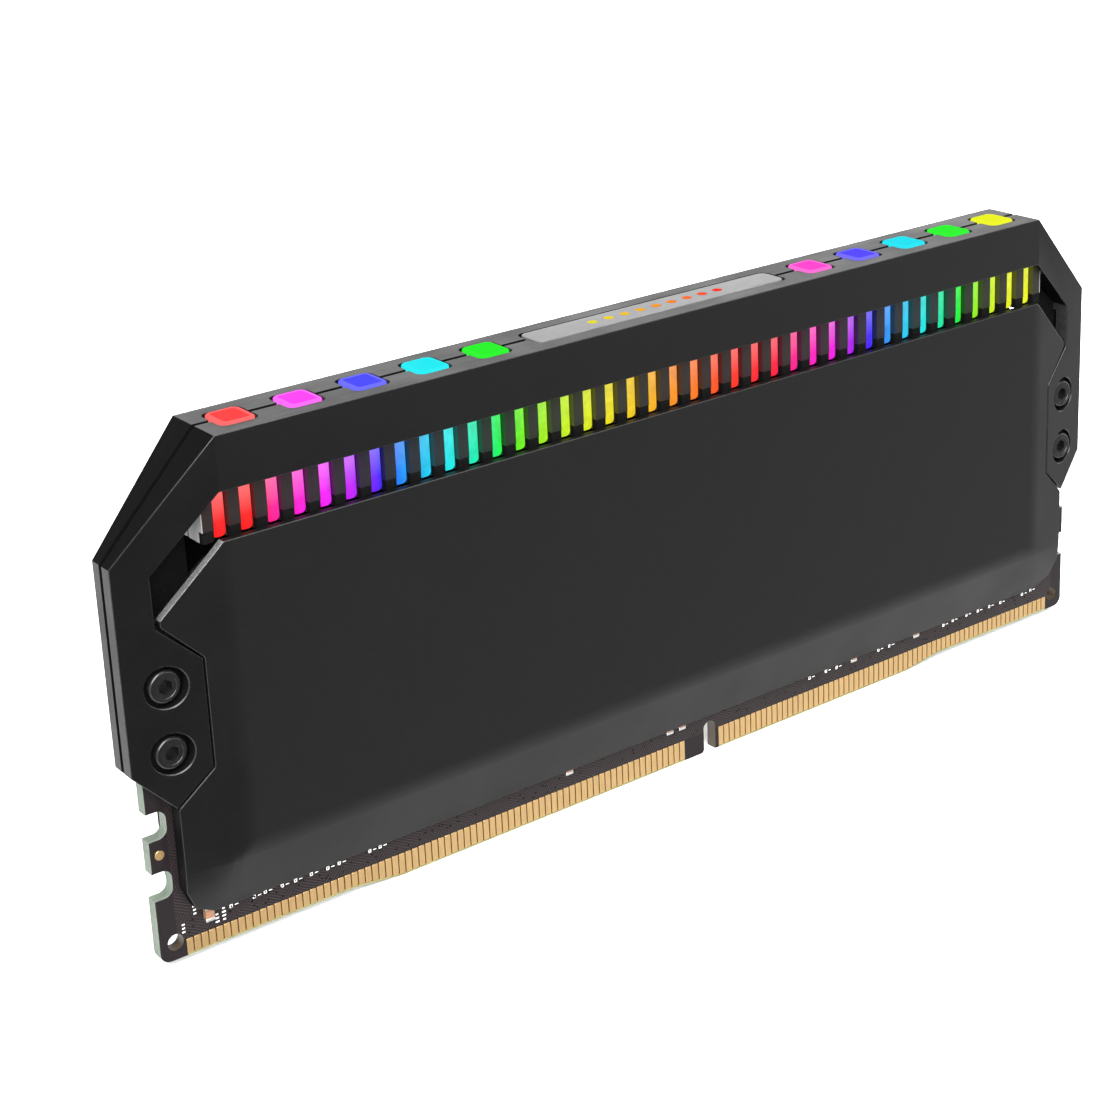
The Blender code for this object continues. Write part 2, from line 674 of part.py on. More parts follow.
def make_spacer(name, centre, level, materials):
    bm = bmesh.new()
    outer = circle(centre, level, SPACER_RADIUS)
    add_depth_prism(bm, outer, -SPACER_HALF, SPACER_HALF)
    spacer = make_object(name, bm, materials["brass"], rounded=True)
    bore = bmesh.new()
    add_depth_prism(bore, circle(centre, level, SPACER_BORE), -REACH, REACH)
    carve(spacer, name + "_bore", bore)


def make_fasteners(materials):
    for sign, end_name in ((-1, "left"), (1, "right")):
        for level, level_name in zip(SCREW_LEVELS, ("upper", "lower")):
            centre = sign * SCREW_OFFSET
            make_spacer(f"{end_name}_{level_name}_spacer", centre, level, materials)
            for side, side_name in ((FRONT, "front"), (REAR, "rear")):
                make_screw(f"{side_name}_{end_name}_{level_name}_screw", side, centre, level,
                           materials)


def main():
    clear_scene()
    materials = make_materials()
    make_circuit_board(materials)
    make_chips(materials)
    make_thermal_pads(materials)
    make_heat_spreader("front_heat_spreader", FRONT, materials)
    make_heat_spreader("rear_heat_spreader", REAR, materials)
    make_frame_half("front_frame", FRONT, materials)
    make_frame_half("rear_frame", REAR, materials)
    make_fin_comb("front_fin_comb", FRONT, materials)
    make_fin_comb("rear_fin_comb", REAR, materials)
    make_light_guide(materials)
    make_lights(materials)
    make_fasteners(materials)


main()
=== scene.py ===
"""Looks of the desktop memory module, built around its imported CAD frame.

X runs along the board, the front looks towards -Y, and Z = 0 is the contact edge.
Fine shells stand for the CAD solids, and small surface parts are added to the board.
"""

import colorsys
import math
import random

import bmesh
import bpy
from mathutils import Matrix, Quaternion, Vector


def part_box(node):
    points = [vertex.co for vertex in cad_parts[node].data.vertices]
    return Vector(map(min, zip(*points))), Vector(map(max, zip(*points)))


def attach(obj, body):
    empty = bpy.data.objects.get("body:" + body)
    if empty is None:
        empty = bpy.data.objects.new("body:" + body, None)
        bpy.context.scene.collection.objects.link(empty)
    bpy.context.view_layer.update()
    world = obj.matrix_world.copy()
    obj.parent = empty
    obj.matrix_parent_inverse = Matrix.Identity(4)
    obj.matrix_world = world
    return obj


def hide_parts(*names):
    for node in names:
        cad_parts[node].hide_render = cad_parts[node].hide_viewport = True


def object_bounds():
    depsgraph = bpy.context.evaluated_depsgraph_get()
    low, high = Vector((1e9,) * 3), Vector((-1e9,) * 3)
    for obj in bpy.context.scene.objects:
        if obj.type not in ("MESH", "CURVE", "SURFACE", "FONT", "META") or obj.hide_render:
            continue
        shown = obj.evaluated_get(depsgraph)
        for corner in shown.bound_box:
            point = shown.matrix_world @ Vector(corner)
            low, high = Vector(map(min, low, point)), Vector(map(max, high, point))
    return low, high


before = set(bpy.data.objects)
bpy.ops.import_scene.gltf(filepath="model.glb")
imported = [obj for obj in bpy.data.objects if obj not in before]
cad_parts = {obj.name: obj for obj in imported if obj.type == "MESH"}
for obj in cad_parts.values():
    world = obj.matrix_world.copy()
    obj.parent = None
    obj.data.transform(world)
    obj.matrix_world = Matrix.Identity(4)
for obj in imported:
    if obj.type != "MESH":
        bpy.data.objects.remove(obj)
CAD_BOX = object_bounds()

MM = 0.001
FRONT, REAR = -1, 1
SIDES = ((FRONT, "front"), (REAR, "rear"))
END_NAMES = ("left", "right")
LEVEL_NAMES = ("upper", "lower")

# Circuit board
BOARD_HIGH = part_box("circuit_board")[1]
BOARD_END = BOARD_HIGH.x
BOARD_FACE = BOARD_HIGH.y
BOARD_TOP = BOARD_HIGH.z
BOARD_SHOULDER = 35.0 * MM
BOARD_TOP_HALF = 57.0 * MM
BOARD_CORNER = 1.2 * MM
BOARD_EDGE = 0.04 * MM
EDGE_RISE = 0.75 * MM
EDGE_RISE_OUTER = BOARD_END - 22.95 * MM
EDGE_RISE_INNER = BOARD_END - 28.9 * MM
KEY_CENTRE = 5.48 * MM
KEY_WIDTH = 1.7 * MM
KEY_DEPTH = 3.85 * MM
KEY_REACH = KEY_WIDTH * 0.55
KEY_CORNER = 0.5 * MM             # rounding of the board's corner left of the key notch
# Painted shade: the cut edge above this level takes the solder mask's black, where it shows inside the
# module
PAINTED_SHADE_EDGE_TOP = 24.0 * MM         # above this level the board's cut edge is black
LATCH_NOTCHES = ((8.0 * MM, 11.0 * MM), (14.6 * MM, 17.6 * MM))
LATCH_NOTCH_DEPTH = 2.1 * MM
LATCH_NOTCH_RADIUS = 1.0 * MM
TOOLING_HOLE = (BOARD_END - 1.81 * MM, 2.75 * MM)
TOOLING_HOLE_RADIUS = 0.9 * MM
TOOLING_HOLE_REACH = TOOLING_HOLE_RADIUS * 1.05
SPACER_HOLE_RADIUS = 1.6 * MM

# Gold contacts, in two rows that the key notch parts
CONTACT_PITCH = 0.85 * MM
CONTACT_LAST = 63.325 * MM
CONTACT_COUNTS = (77, 67)         # left and right of the key notch
CONTACT_WIDTH = 0.7 * MM
CONTACT_TOP = 2.62 * MM
CONTACT_CORNER = 0.08 * MM
CONTACT_RELIEF = 0.03 * MM
EDGE_BAND = 0.27 * MM             # bare laminate under the contacts
TRACE_END = 64.6 * MM             # the board has no traces past this, at its two ends

# Small parts and marks on the board. Where MM is not written, the numbers are millimetres
FIDUCIAL = (65.6 * MM, 12.85 * MM)
FIDUCIAL_RADIUS = 0.52 * MM
VIA_RADIUS = 0.11 * MM
VIA_STRIP = (2.95 * MM, 4.9 * MM)
VIA_COUNT = 150
VIA_SEED = 7
CERAMIC_SIZE = (0.95 * MM, 1.7 * MM, 0.6 * MM)
CERAMIC_END = 0.36 * MM
CERAMIC_EDGE = 0.05 * MM
CERAMIC_STEP = 0.02 * MM          # the body is this much thinner than its ends
CERAMIC_FLARE = 0.06 * MM         # and this much narrower
CERAMIC_CORNER = 0.08 * MM
CERAMIC_PLACES = ((-61.07, 4.75), (-15.5, 5.25), (-0.9, 5.3), (0.95, 5.3), (28.4, 5.3), (39.2, 5.3))
INK = 0.012 * MM
INK_LINE = 0.09 * MM
EDGE_MARKS = (-58.4, -55.7, -54.4, -52.4, -50.8, -48.9, -46.9, -45.5, -41.7, -40.4,
              21.5, 24.2, 26.0, 33.1, 35.0, 44.6, 46.3, 48.8, 50.9, 53.0, 55.1, 59.2, 60.8)
EDGE_MARK_LEVEL = 4.35 * MM
MARK_SEED = 11
MARK_DRIFT = 0.08
MARK_SIZE = (0.26 * MM, 0.3 * MM)
MARK_DASH = (0.62 * MM, 0.4 * MM)             # distance from its mark, and length
END_MARKS = ((2.8, 3.5, 3), (4.2, 5.1, 3), (6.6, 3.2, 3), (7.4, 3.2, 4))    # inset, level, count
END_MARK_PITCH = 0.42
END_MARK_LENGTHS = (0.3, 0.42)
END_MARK_HEIGHT = 0.16 * MM

# Frame halves
FRAME_LOW, FRAME_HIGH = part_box("rear_frame")
FRAME_DEPTH = FRAME_HIGH.y
FRAME_END_DEPTH = 1.79 * MM
FRAME_CREASE = 57.12 * MM
FRAME_HALF_LENGTH = FRAME_HIGH.x
FRAME_TOP = FRAME_HIGH.z
FRAME_SHOULDER = 44.37 * MM
FRAME_BAR_BOTTOM = 50.0 * MM
LEG_BOTTOM = 22.56 * MM
LEG_TIP = (64.06 * MM, FRAME_LOW.z)
LEG_INNER = 60.14 * MM
LEG_INNER_LOW = 21.84 * MM
LEG_INNER_HIGH = 33.49 * MM
WINDOW_EDGE = 64.41 * MM
WINDOW_LOW = 37.49 * MM
WINDOW_HIGH = 42.89 * MM
FRAME_EDGE = 0.14 * MM
SEAM_HALF = 0.3 * MM
# Seam fill: black lips in the legs' seams and webs behind the windows, as painted shade
SEAM_FILL_HALF = 0.27 * MM
SEAM_FILL_INNER = BOARD_END + 0.2 * MM
SEAM_FILL_OUTER = 67.6 * MM
SEAM_FILL_INSETS = (0.5 * MM, 1.25 * MM)      # from the frame's sloped shoulder
WEB_INNER = 59.3 * MM             # the black web that closes the windows between the halves
WEB_CLEARANCE = 0.2 * MM
BOARD_CLEARANCE = 0.1 * MM
BAR_WALL = 0.9 * MM
COMB_POCKET_HALF = 58.95 * MM
COMB_POCKET_TOP = 51.6 * MM
LAMP_POCKET_HALF = 56.4 * MM
LAMP_POCKET_TOP = 54.5 * MM
OPENING_GAP = 0.08 * MM           # openings in the bar, past the CAD caps and plate
BLOCK_INSET = 0.2 * MM            # visible caps and plate, inside the CAD ones

# Heat spreaders
SPREADER_LOW, SPREADER_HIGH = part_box("rear_heat_spreader")
SPREADER_TOP = SPREADER_HIGH.z
SPREADER_BOTTOM = SPREADER_LOW.z
SPREADER_HALF_LENGTH = SPREADER_HIGH.x
SPREADER_TOP_HALF = 57.2 * MM
SPREADER_CHAMFER_LOW = 38.2 * MM
SPREADER_NOTCH = 0.7 * MM         # height of the upright edge under the chamfer
SPREADER_CORNER = (3.2 * MM, 3.65 * MM)
SPREADER_BACK = SPREADER_LOW.y
SPREADER_POCKET = 2.4 * MM
SPREADER_POCKET_HALF = 59.7 * MM
SPREADER_POCKET_BOTTOM = 11.0 * MM
SPREADER_EDGE = 0.16 * MM
SPREADER_FILLET = 0.5 * MM
SPREADER_WALL = 0.85 * MM         # thickness of the hollowed upper part
HOLLOW_BOTTOM = 29.0 * MM
HOLLOW_WAIST = 59.1 * MM          # half its length below HOLLOW_END_LEVEL
HOLLOW_END_LEVEL = 37.4 * MM
LEG_GAP = 0.15 * MM
HALF_LEG_TURN = math.radians(22.5)     # half the turn at the corners of the leg's inner edge
POCKET_STEP = 0.05 * MM
CREASE_SPACING = 0.3 * MM
SLOPE_SPACING = 1.2 * MM
SIDE_BAND = (56.2 * MM, 63.85 * MM, 1.53 * MM, 2.0 * MM)      # start, end, fall, softness
LOWER_BAND = (13.2 * MM, 5.05 * MM, 2.7 * MM, 2.4 * MM)

# Light guide, caps and name plate
SLOT_COUNT = 39
SLOT_PITCH = 2.979 * MM
GUIDE_LOW, GUIDE_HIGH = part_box("light_guide")
GUIDE_RAIL_BOTTOM = 50.2 * MM
TOOTH_WIDTH = 1.52 * MM
TOOTH_RADIUS = 0.5 * MM
TOOTH_EDGE = 0.06 * MM
CAP_RADIUS = 0.85 * MM
CAP_EDGE = 0.2 * MM
CAP_RIM = 0.44 * MM
CAP_RECESS = 0.03 * MM
CAP_SLOTS = ("red_cap", "magenta_cap", "violet_cap", "cyan_cap", "green_cap",
             "magenta_cap", "violet_cap", "cyan_cap", "green_cap", "yellow_cap")
PLATE_RADIUS = 0.95 * MM
PLATE_EDGE = 0.12 * MM
PLATE_MARKS = 9
PLATE_MARK_PITCH = 2.2 * MM
PLATE_MARK_SIZE = 1.1 * MM

# Fins: where their fronts are cut back at the foot, and the black feet of painted shade that fill the
# cut
FIN_LOW, FIN_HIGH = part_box("rear_fin_comb")
FIN_WIDTH = 1.3 * MM
FIN_DEPTH = FIN_HIGH.y
FIN_END = FIN_HIGH.x
FOOT_LOW = FIN_LOW.z
FOOT_HIGH = 45.9 * MM
FOOT_BACK = 2.2 * MM
FOOT_INSET = 0.03 * MM

# Colours of the lamps, one every LAMP_PITCH along the bar
LAMP_PITCH = 7.55 * MM
LAMP_HUES = (0, 302, 236, 182, 120, 72, 54, 35, 12, 348, 312, 252, 184, 124, 62)

# Screws
COUNTERBORE_RADIUS = 2.175 * MM
COUNTERBORE_FLOOR = 1.5 * MM
COUNTERBORE_FLARE = 0.1 * MM
RECESS_MARGIN = 0.02 * MM
SHANK_HOLE_RADIUS = 0.95 * MM
SHANK_RADIUS = 0.8 * MM
SHANK_END = 0.15 * MM
HEAD_RADIUS = 1.72 * MM
HEAD_RANGE = (1.55 * MM, 2.55 * MM)
HEAD_EDGE = 0.3 * MM
DISH_RADIUS = 1.22 * MM
DISH_DEPTH = 0.04 * MM
SOCKET_RADIUS = 0.8 * MM
SOCKET_FLOOR = 1.85 * MM

# Camera, lights and floor
CAMERA_PLACE = Vector((-149.21, -186.34, 125.0)) * MM
CAMERA_BEARING = math.radians(35.826)     # from +Y towards +X
CAMERA_DIP = math.radians(17.517)
CAMERA_ROLL = math.radians(-2.665)
CAMERA_LENS = 74.04
CAMERA_SENSOR = 36.0
CAMERA_SHIFT = -0.17
CAMERA_NEAR = 10.0 * MM
FLOOR_HALF = 4.0
LIGHT_HEIGHT = 0.6
LIGHT_SIZE = 0.5
LIGHT_POWER = 0.6

# The studio round the object: light by the height of a direction, spots that add to it and
# flags that hold it off, each with its direction, the cosines between which it fades in,
# and its light or the share of light it lets through
SKY_LEVELS = ((-0.75, 2.0), (-0.62, 1.85), (-0.45, 1.2), (-0.1, 1.2), (0.05, 1.85), (0.42, 1.85),
              (0.52, 0.3), (0.72, 0.3), (0.79, 6.0))
SKY_PEAK = 6.0
LEFT_SPOT = ((-0.55, 0.78, -0.3), 0.80, 0.97, 1.9)
FRONT_SPOT = ((-0.47, -0.64, 0.6), 0.86, 0.95, 14.0)
LOW_FLAG = ((-0.15, -0.93, -0.33), 0.76, 0.93, 0.08)
HIGH_FLAG = ((-0.55, 0.55, 0.62), 0.62, 0.85, 0.03)

# Finishes with a grain: darkest and lightest colour (a number is a grey), range of roughness,
# size and height of the grain in mm, and where they matter its stretch, the specular level
# and the metalness
EVEN = (1.0, 1.0, 1.0)
WHITE = 1.0
GAMMA = 2.2
BROAD_GRAIN = 40                  # size of the drift in roughness, in grains
FINISHES = (
    ("board_laminate", (0.06, 0.08, 0.065), (0.14, 0.165, 0.13), (0.5, 0.7), 0.12, 0.01,
     (0.2, 1.0, 0.2), 0.3),
    # Walls of the holes and the key notch: a darker brown than the laminate, as painted shade
    ("hole_wall", (0.018, 0.013, 0.007), (0.05, 0.035, 0.02), (0.4, 0.6), 0.15, 0.01, EVEN, 0.3),
    ("bare_edge", (0.13, 0.12, 0.05), (0.20, 0.18, 0.08), (0.55, 0.7), 0.2, 0.004,
     (0.3, 1.0, 1.0), 0.1),
    ("contact_gap", (0.035, 0.012, 0.003), (0.07, 0.026, 0.007), (0.6, 0.75), 0.15, 0.002,
     (1.0, 1.0, 0.3), 0.1),
    ("contact_gold", (0.58, 0.385, 0.17), (0.70, 0.475, 0.22), (0.26, 0.4), 0.2, 0.003,
     (1.0, 1.0, 0.15), 0.5, 1.0),
    ("via_rim", 0.001, (0.006, 0.004, 0.003), (0.4, 0.6), 0.05, 0.004, EVEN, 0.05),
    ("white_ink", (0.6, 0.6, 0.58), (0.85, 0.85, 0.83), (0.5, 0.7), 0.1, 0.003),
    ("capacitor_ceramic", (0.16, 0.075, 0.04), (0.24, 0.12, 0.065), (0.35, 0.5), 0.1, 0.004),
    ("tinned_ends", (0.55, 0.55, 0.54), (0.8, 0.8, 0.78), (0.22, 0.4), 0.15, 0.006, EVEN, 0.5, 1.0),
    ("spreader_black", (0.0018, 0.0018, 0.0019), (0.0036, 0.0036, 0.0037), (0.38, 0.46), 0.22,
     0.0035, EVEN, 0.15),
    # Chamfer beside the windows: grainy grey, much lighter than the spreader's black, as a painted
    # highlight
    ("spreader_cut_edge", 0.004, (0.13, 0.13, 0.132), (0.45, 0.6), 0.12, 0.03),
    # Painted edge highlight on rounded borders: lighter and glossier than the black finishes, it draws
    # bright broken edge lines
    ("worn_edge", 0.002, 0.02, (0.2, 0.34), 0.14, 0.006, EVEN, 0.3),
    ("frame_black", (0.0016, 0.0016, 0.0017), (0.0032, 0.0032, 0.0033), (0.36, 0.43), 0.14, 0.003,
     (0.5, 1.0, 1.0), 0.145),
    # Brushed top of the bar: streaks of grain, lighter than the black front, as painted sheen
    ("frame_brushed_top", 0.001, 0.024, (0.30, 0.42), 0.16, 0.004, (0.025, 1.0, 1.0), 0.14),
    # End faces of the legs: grain in light speckles, lighter than the black front, as painted sheen
    ("frame_grainy_end", 0.001, 0.035, (0.36, 0.44), 0.11, 0.012, EVEN, 0.07),
    # Upward slopes: a darker, duller copy of the frame's black, as painted shade
    ("frame_dark_slope", 0.0012, 0.0028, (0.3, 0.36), 0.14, 0.003, EVEN, 0.06),
    # Painted shade: a flat, dull black for walls and fillers where shade falls, in the screws'
    # recesses, on the spreaders' side walls, in the seams and under the fins
    ("hollow_black", 0.002, 0.005, (0.6, 0.8), 0.2, 0.003, EVEN, 0.03),
    ("plate_grey", (0.075, 0.075, 0.076), (0.105, 0.105, 0.106), (0.4, 0.55), 0.2, 0.003,
     (0.1, 1.0, 1.0), 0.3),
    ("screw_steel", 0.003, 0.007, (0.22, 0.34), 0.2, 0.002, EVEN, 0.14),
    # Rounded rim of the screw heads: a lighter, glossier copy of the screw's steel, for a painted
    # highlight
    ("screw_rim", 0.004, 0.01, (0.14, 0.22), 0.2, 0.001, EVEN, 0.4),
    ("chip_resin", (0.010, 0.010, 0.011), (0.03, 0.03, 0.031), (0.5, 0.7), 0.12, 0.008),
    ("thermal_pad", (0.20, 0.24, 0.30), (0.32, 0.36, 0.42), (0.75, 0.95), 0.4, 0.03),
    ("lamp_board_white", (0.6, 0.6, 0.58), (0.75, 0.75, 0.72), (0.4, 0.6), 0.3, 0.005),
    ("lamp_resin", (0.7, 0.68, 0.5), (0.9, 0.88, 0.75), (0.25, 0.4), 0.2, 0.004),
    ("connector_plastic", 0.012, 0.03, (0.4, 0.6), 0.15, 0.006),
    ("spacer_brass", (0.55, 0.36, 0.12), (0.75, 0.52, 0.22), (0.25, 0.4), 0.2, 0.004, EVEN,
     0.5, 1.0),
    ("floor_white", 0.76, 0.8, (0.8, 0.9), 60.0, 0.0, EVEN, 0.1),
)
NODE_FINISHES = {"memory_chip": "chip_resin", "identity_chip": "chip_resin",
                 "front_thermal": "thermal_pad", "rear_thermal": "thermal_pad",
                 "front_fin": "fin_metal", "rear_fin": "fin_metal",
                 "lamp_board": "lamp_board_white", "lamp_connector": "connector_plastic"}

# The share of a face's normal along an axis decides its finish
ALIGNED = 0.9
SPREADER_ALIGNED = 0.75
GUIDE_ALIGNED = 0.5
# Over the windows, faces this slanted get the spreader's painted chamfer highlight
CUT_SLANT = 0.3                   # cut corners of the spreaders, beside the windows
SHOULDER_SLANT = 0.4
# Faces whose normals fall in these ranges get the painted edge highlight
SPREADER_BORDER = (0.25, 0.9)     # rounded borders, between a flat face and its sides
FRAME_BORDER = (0.25, 0.93)
# Screw-head faces in this range get the rim's painted highlight
HEAD_BORDER = (0.15, 0.95)

MATERIALS = {}                    # by the names given here; the CAD's own may have the same
ROUND_STEPS = 64
CORNER_SHARE = 0.45               # most of a short edge that the rounding of a corner takes
SHARPEST_CORNER = 0.3             # limits how far an offset outline runs out at a corner
LEAST_ROUNDING = 0.3              # of a block's corners where its outline shrinks
SHARP_ANGLE = math.radians(35.0)
REACH = 30.0 * MM
TOLERANCE = 1e-7


# ---- node helpers

def feed(tree, node, inputs):
    """Give a node's inputs their values, or link them to other nodes' sockets."""
    for socket, value in inputs.items():
        if isinstance(value, bpy.types.NodeSocket):
            tree.links.new(value, node.inputs[socket])
        else:
            node.inputs[socket].default_value = value


def add_node(tree, kind, inputs=None, **settings):
    """A shader node of a kind, with its settings and inputs."""
    node = tree.nodes.new(f"ShaderNode{kind}")
    for key, value in settings.items():
        setattr(node, key, value)
    feed(tree, node, inputs or {})
    return node


def calculate(tree, operation, first, second=0.0):
    return add_node(tree, "Math", {0: first, 1: second}, operation=operation).outputs[0]


def split(tree, vector):
    """The X, Y and Z of a vector, as sockets with those names."""
    return add_node(tree, "SeparateXYZ", {"Vector": vector}).outputs


def remap(tree, value, low, high, start=0.3, end=0.7, **settings):
    """Low to high as the value goes from start to end, which default to a noise's usual range."""
    node = add_node(tree, "MapRange",
                    {"Value": value, "From Min": start, "From Max": end,
                     "To Min": low, "To Max": high}, **settings)
    return node.outputs["Result"]


def rgba(colour):
    """A colour for a socket: a number stands for a grey, and another socket stays as it is."""
    if isinstance(colour, bpy.types.NodeSocket):
        return colour
    return (*((colour,) * 3 if isinstance(colour, float) else colour), 1.0)


def blend_colours(tree, factor, first, second):
    inputs = {0: factor, 6: rgba(first), 7: rgba(second)}
    return add_node(tree, "Mix", inputs, data_type="RGBA").outputs[2]


def add_ramp(tree, factor, stops):
    """Colours blended along a factor, through stops that each have a place and a colour."""
    ramp = add_node(tree, "ValToRGB", {"Fac": factor})
    elements = ramp.color_ramp.elements
    while len(elements) < len(stops):
        elements.new(0.5)
    for index, (place, colour) in enumerate(stops):
        elements[index].position = place
        elements[index].color = rgba(colour)
    return ramp.outputs["Color"]


def object_place(tree, stretch=EVEN, turn=0.0):
    """The place on the object, scaled, or turned about Y by an angle in degrees."""
    coordinates = add_node(tree, "TexCoord")
    mapping = add_node(tree, "Mapping",
                       {"Vector": coordinates.outputs["Object"], "Scale": stretch,
                        "Rotation": (0.0, math.radians(turn), 0.0)})
    return mapping.outputs["Vector"]


def add_noise(tree, size, stretch=EVEN, detail=3.0):
    """Cloudy noise whose features are about `size` metres across."""
    inputs = {"Vector": object_place(tree, stretch), "Scale": 1.0 / size, "Detail": detail,
              "Roughness": 0.6}
    return add_node(tree, "TexNoise", inputs).outputs["Fac"]


def add_bump(tree, shader, height, relief):
    bump = add_node(tree, "Bump", {"Height": height, "Distance": relief, "Strength": 1.0})
    feed(tree, shader, {"Normal": bump.outputs["Normal"]})


def start_material(name, roughness=0.5, metallic=0.0, specular=0.5):
    material = bpy.data.materials.new(name)
    MATERIALS[name] = material
    material.use_nodes = True
    tree = material.node_tree
    shader = tree.nodes["Principled BSDF"]
    feed(tree, shader, {"Roughness": roughness, "Metallic": metallic,
                        "Specular IOR Level": specular})
    return tree, shader


# ---- materials

def grained(name, dark, light, roughness, grain, relief, stretch=EVEN, specular=0.5, metallic=0.0):
    """A finish with fine grain: colour and roughness drift, and the grain stands up a little."""
    tree, shader = start_material(name, metallic=metallic, specular=specular)
    fine = add_noise(tree, grain * MM, stretch)
    broad = add_noise(tree, grain * MM * BROAD_GRAIN, detail=2.0)
    feed(tree, shader,
         {"Base Color": blend_colours(tree, remap(tree, fine, 0.0, 1.0), dark, light),
          "Roughness": remap(tree, broad, *roughness)})
    add_bump(tree, shader, fine, relief * MM)


def lamp_colour(tree, stepped=False):
    """The lamps' colour along X, blended or even round each lamp, and the place on the object."""
    parts = split(tree, object_place(tree))
    place = parts["X"]
    if stepped:
        moved = calculate(tree, "ADD", place, LAMP_PITCH / 2)
        place = calculate(tree, "SNAP", moved, LAMP_PITCH)
    last = len(LAMP_HUES) - 1
    reach = LAMP_PITCH * last / 2
    stops = []
    for index, hue in enumerate(LAMP_HUES):
        channels = colorsys.hsv_to_rgb(hue / 360.0, 1.0, 1.0)
        stops.append((index / last, [channel ** GAMMA for channel in channels]))
    return add_ramp(tree, remap(tree, place, 0.0, 1.0, -reach, reach), stops), parts


def dimmed_by_green(tree, colour, level, share):
    """A level that falls to a share of itself where a lamp's colour has green in it."""
    parts = add_node(tree, "SeparateColor", {"Color": colour}).outputs
    return remap(tree, parts["Green"], level, share * level, 0.0, 0.6)


def make_guide_material(name, strength):
    """Lit plastic: paler where it leaves the bar, deeper at its rounded tips."""
    tree, shader = start_material(name, roughness=0.35, specular=0.1)
    colour, place = lamp_colour(tree)
    height = remap(tree, place["Z"], 0.0, 0.19, GUIDE_LOW.z + 1.5 * MM, FRAME_BAR_BOTTOM)
    mottle = remap(tree, add_noise(tree, 1.2 * MM), 0.85 * strength, 1.1 * strength)
    pallor = calculate(tree, "MULTIPLY", height, dimmed_by_green(tree, colour, 1.0, share=0.45))
    glow = calculate(tree, "MULTIPLY", mottle, dimmed_by_green(tree, colour, 1.0, share=0.85))
    feed(tree, shader, {"Emission Color": blend_colours(tree, pallor, colour, WHITE),
                        "Emission Strength": glow, "Base Color": rgba(0.01)})


def make_fin_material():
    """Dark anodised fins with a painted glow in the colour of the teeth beside them, standing in for
    the teeth's light on the fins, and with ends painted light grey as a painted reflection.
    """
    tree, shader = start_material("fin_metal", roughness=0.4, specular=0.16)
    fine = add_noise(tree, 0.25 * MM, (1.0, 1.0, 0.2))
    black = blend_colours(tree, fine, 0.004, 0.009)
    colour, place = lamp_colour(tree)
    along = calculate(tree, "ABSOLUTE", place["X"])
    # The ends are painted light grey, a painted reflection, and take no painted glow
    end_span = FIN_END - 0.1 * MM, FIN_END - 0.05 * MM
    inside = remap(tree, along, 1.0, 0.0, *end_span)
    ends = remap(tree, along, 0.0, 1.0, *end_span)
    geometry = add_node(tree, "NewGeometry")
    across = calculate(tree, "ABSOLUTE", split(tree, geometry.outputs["Normal"])["X"])
    # Painted glow of the teeth's light: faint emission in the lamps' colour, stronger on the fins'
    # sides than on their fronts
    front_painted_spill, side_painted_spill = 0.012, 0.06
    glow = remap(tree, across, front_painted_spill, side_painted_spill, 0.0, 1.0)
    feed(tree, shader, {"Emission Color": colour,
                        "Emission Strength": calculate(tree, "MULTIPLY", glow, inside),
                        "Base Color": blend_colours(tree, ends, black, 0.2)})
    add_bump(tree, shader, fine, 0.004 * MM)


def make_cap_material(name, whiteness, strength, stepped=True):
    """Lit caps, red and blue ones paler and brighter than those with green in them."""
    tree, shader = start_material(name, roughness=0.3, specular=0.0)
    colour, _ = lamp_colour(tree, stepped)
    mottle = remap(tree, add_noise(tree, 1.5 * MM), 0.0, 0.012)
    lit = blend_colours(tree, mottle, colour, WHITE)
    pallor = dimmed_by_green(tree, colour, whiteness, share=0.06)
    feed(tree, shader, {"Emission Color": blend_colours(tree, pallor, lit, WHITE),
                        "Emission Strength": dimmed_by_green(tree, colour, strength, share=0.9),
                        "Base Color": rgba(0.004)})


def add_lines(tree, pitch, turn, width):
    """Fine parallel lines in the X-Z plane: 1 on a line and 0 between."""
    place = split(tree, object_place(tree, turn=turn))
    away = calculate(tree, "PINGPONG", place["X"], pitch / 2)
    return remap(tree, away, 1.0, 0.0, width / 2, width / 2 + 0.03 * MM)


def make_mask_material():
    """Nearly black solder mask with buried traces, which run two ways in patches.

    The board's two ends and the strip of the contacts have no traces.
    """
    tree, shader = start_material("solder_mask", roughness=0.38, specular=0.16)
    patch = remap(tree, add_noise(tree, 3.5 * MM, detail=1.0), 0.0, 1.0, 0.47, 0.5)
    rising = add_lines(tree, pitch=0.30 * MM, turn=62.0, width=0.10 * MM)
    falling = add_lines(tree, pitch=0.33 * MM, turn=-38.0, width=0.10 * MM)
    lines = add_node(tree, "Mix", {0: patch, 2: rising, 3: falling}).outputs[0]
    place = split(tree, object_place(tree))
    along = calculate(tree, "ABSOLUTE", place["X"])
    inside = remap(tree, along, 1.0, 0.0, TRACE_END, TRACE_END + 0.1 * MM)
    above = remap(tree, place["Z"], 0.0, 1.0, CONTACT_TOP, CONTACT_TOP + 0.1 * MM)
    traces = calculate(tree, "MULTIPLY", calculate(tree, "MULTIPLY", inside, above), lines)
    ground = blend_colours(tree, add_noise(tree, 0.2 * MM), (0.006, 0.004, 0.005),
                           (0.010, 0.0075, 0.0085))
    feed(tree, shader, {"Base Color": blend_colours(tree, traces, ground, (0.020, 0.015, 0.015))})
    add_bump(tree, shader, traces, 0.01 * MM)


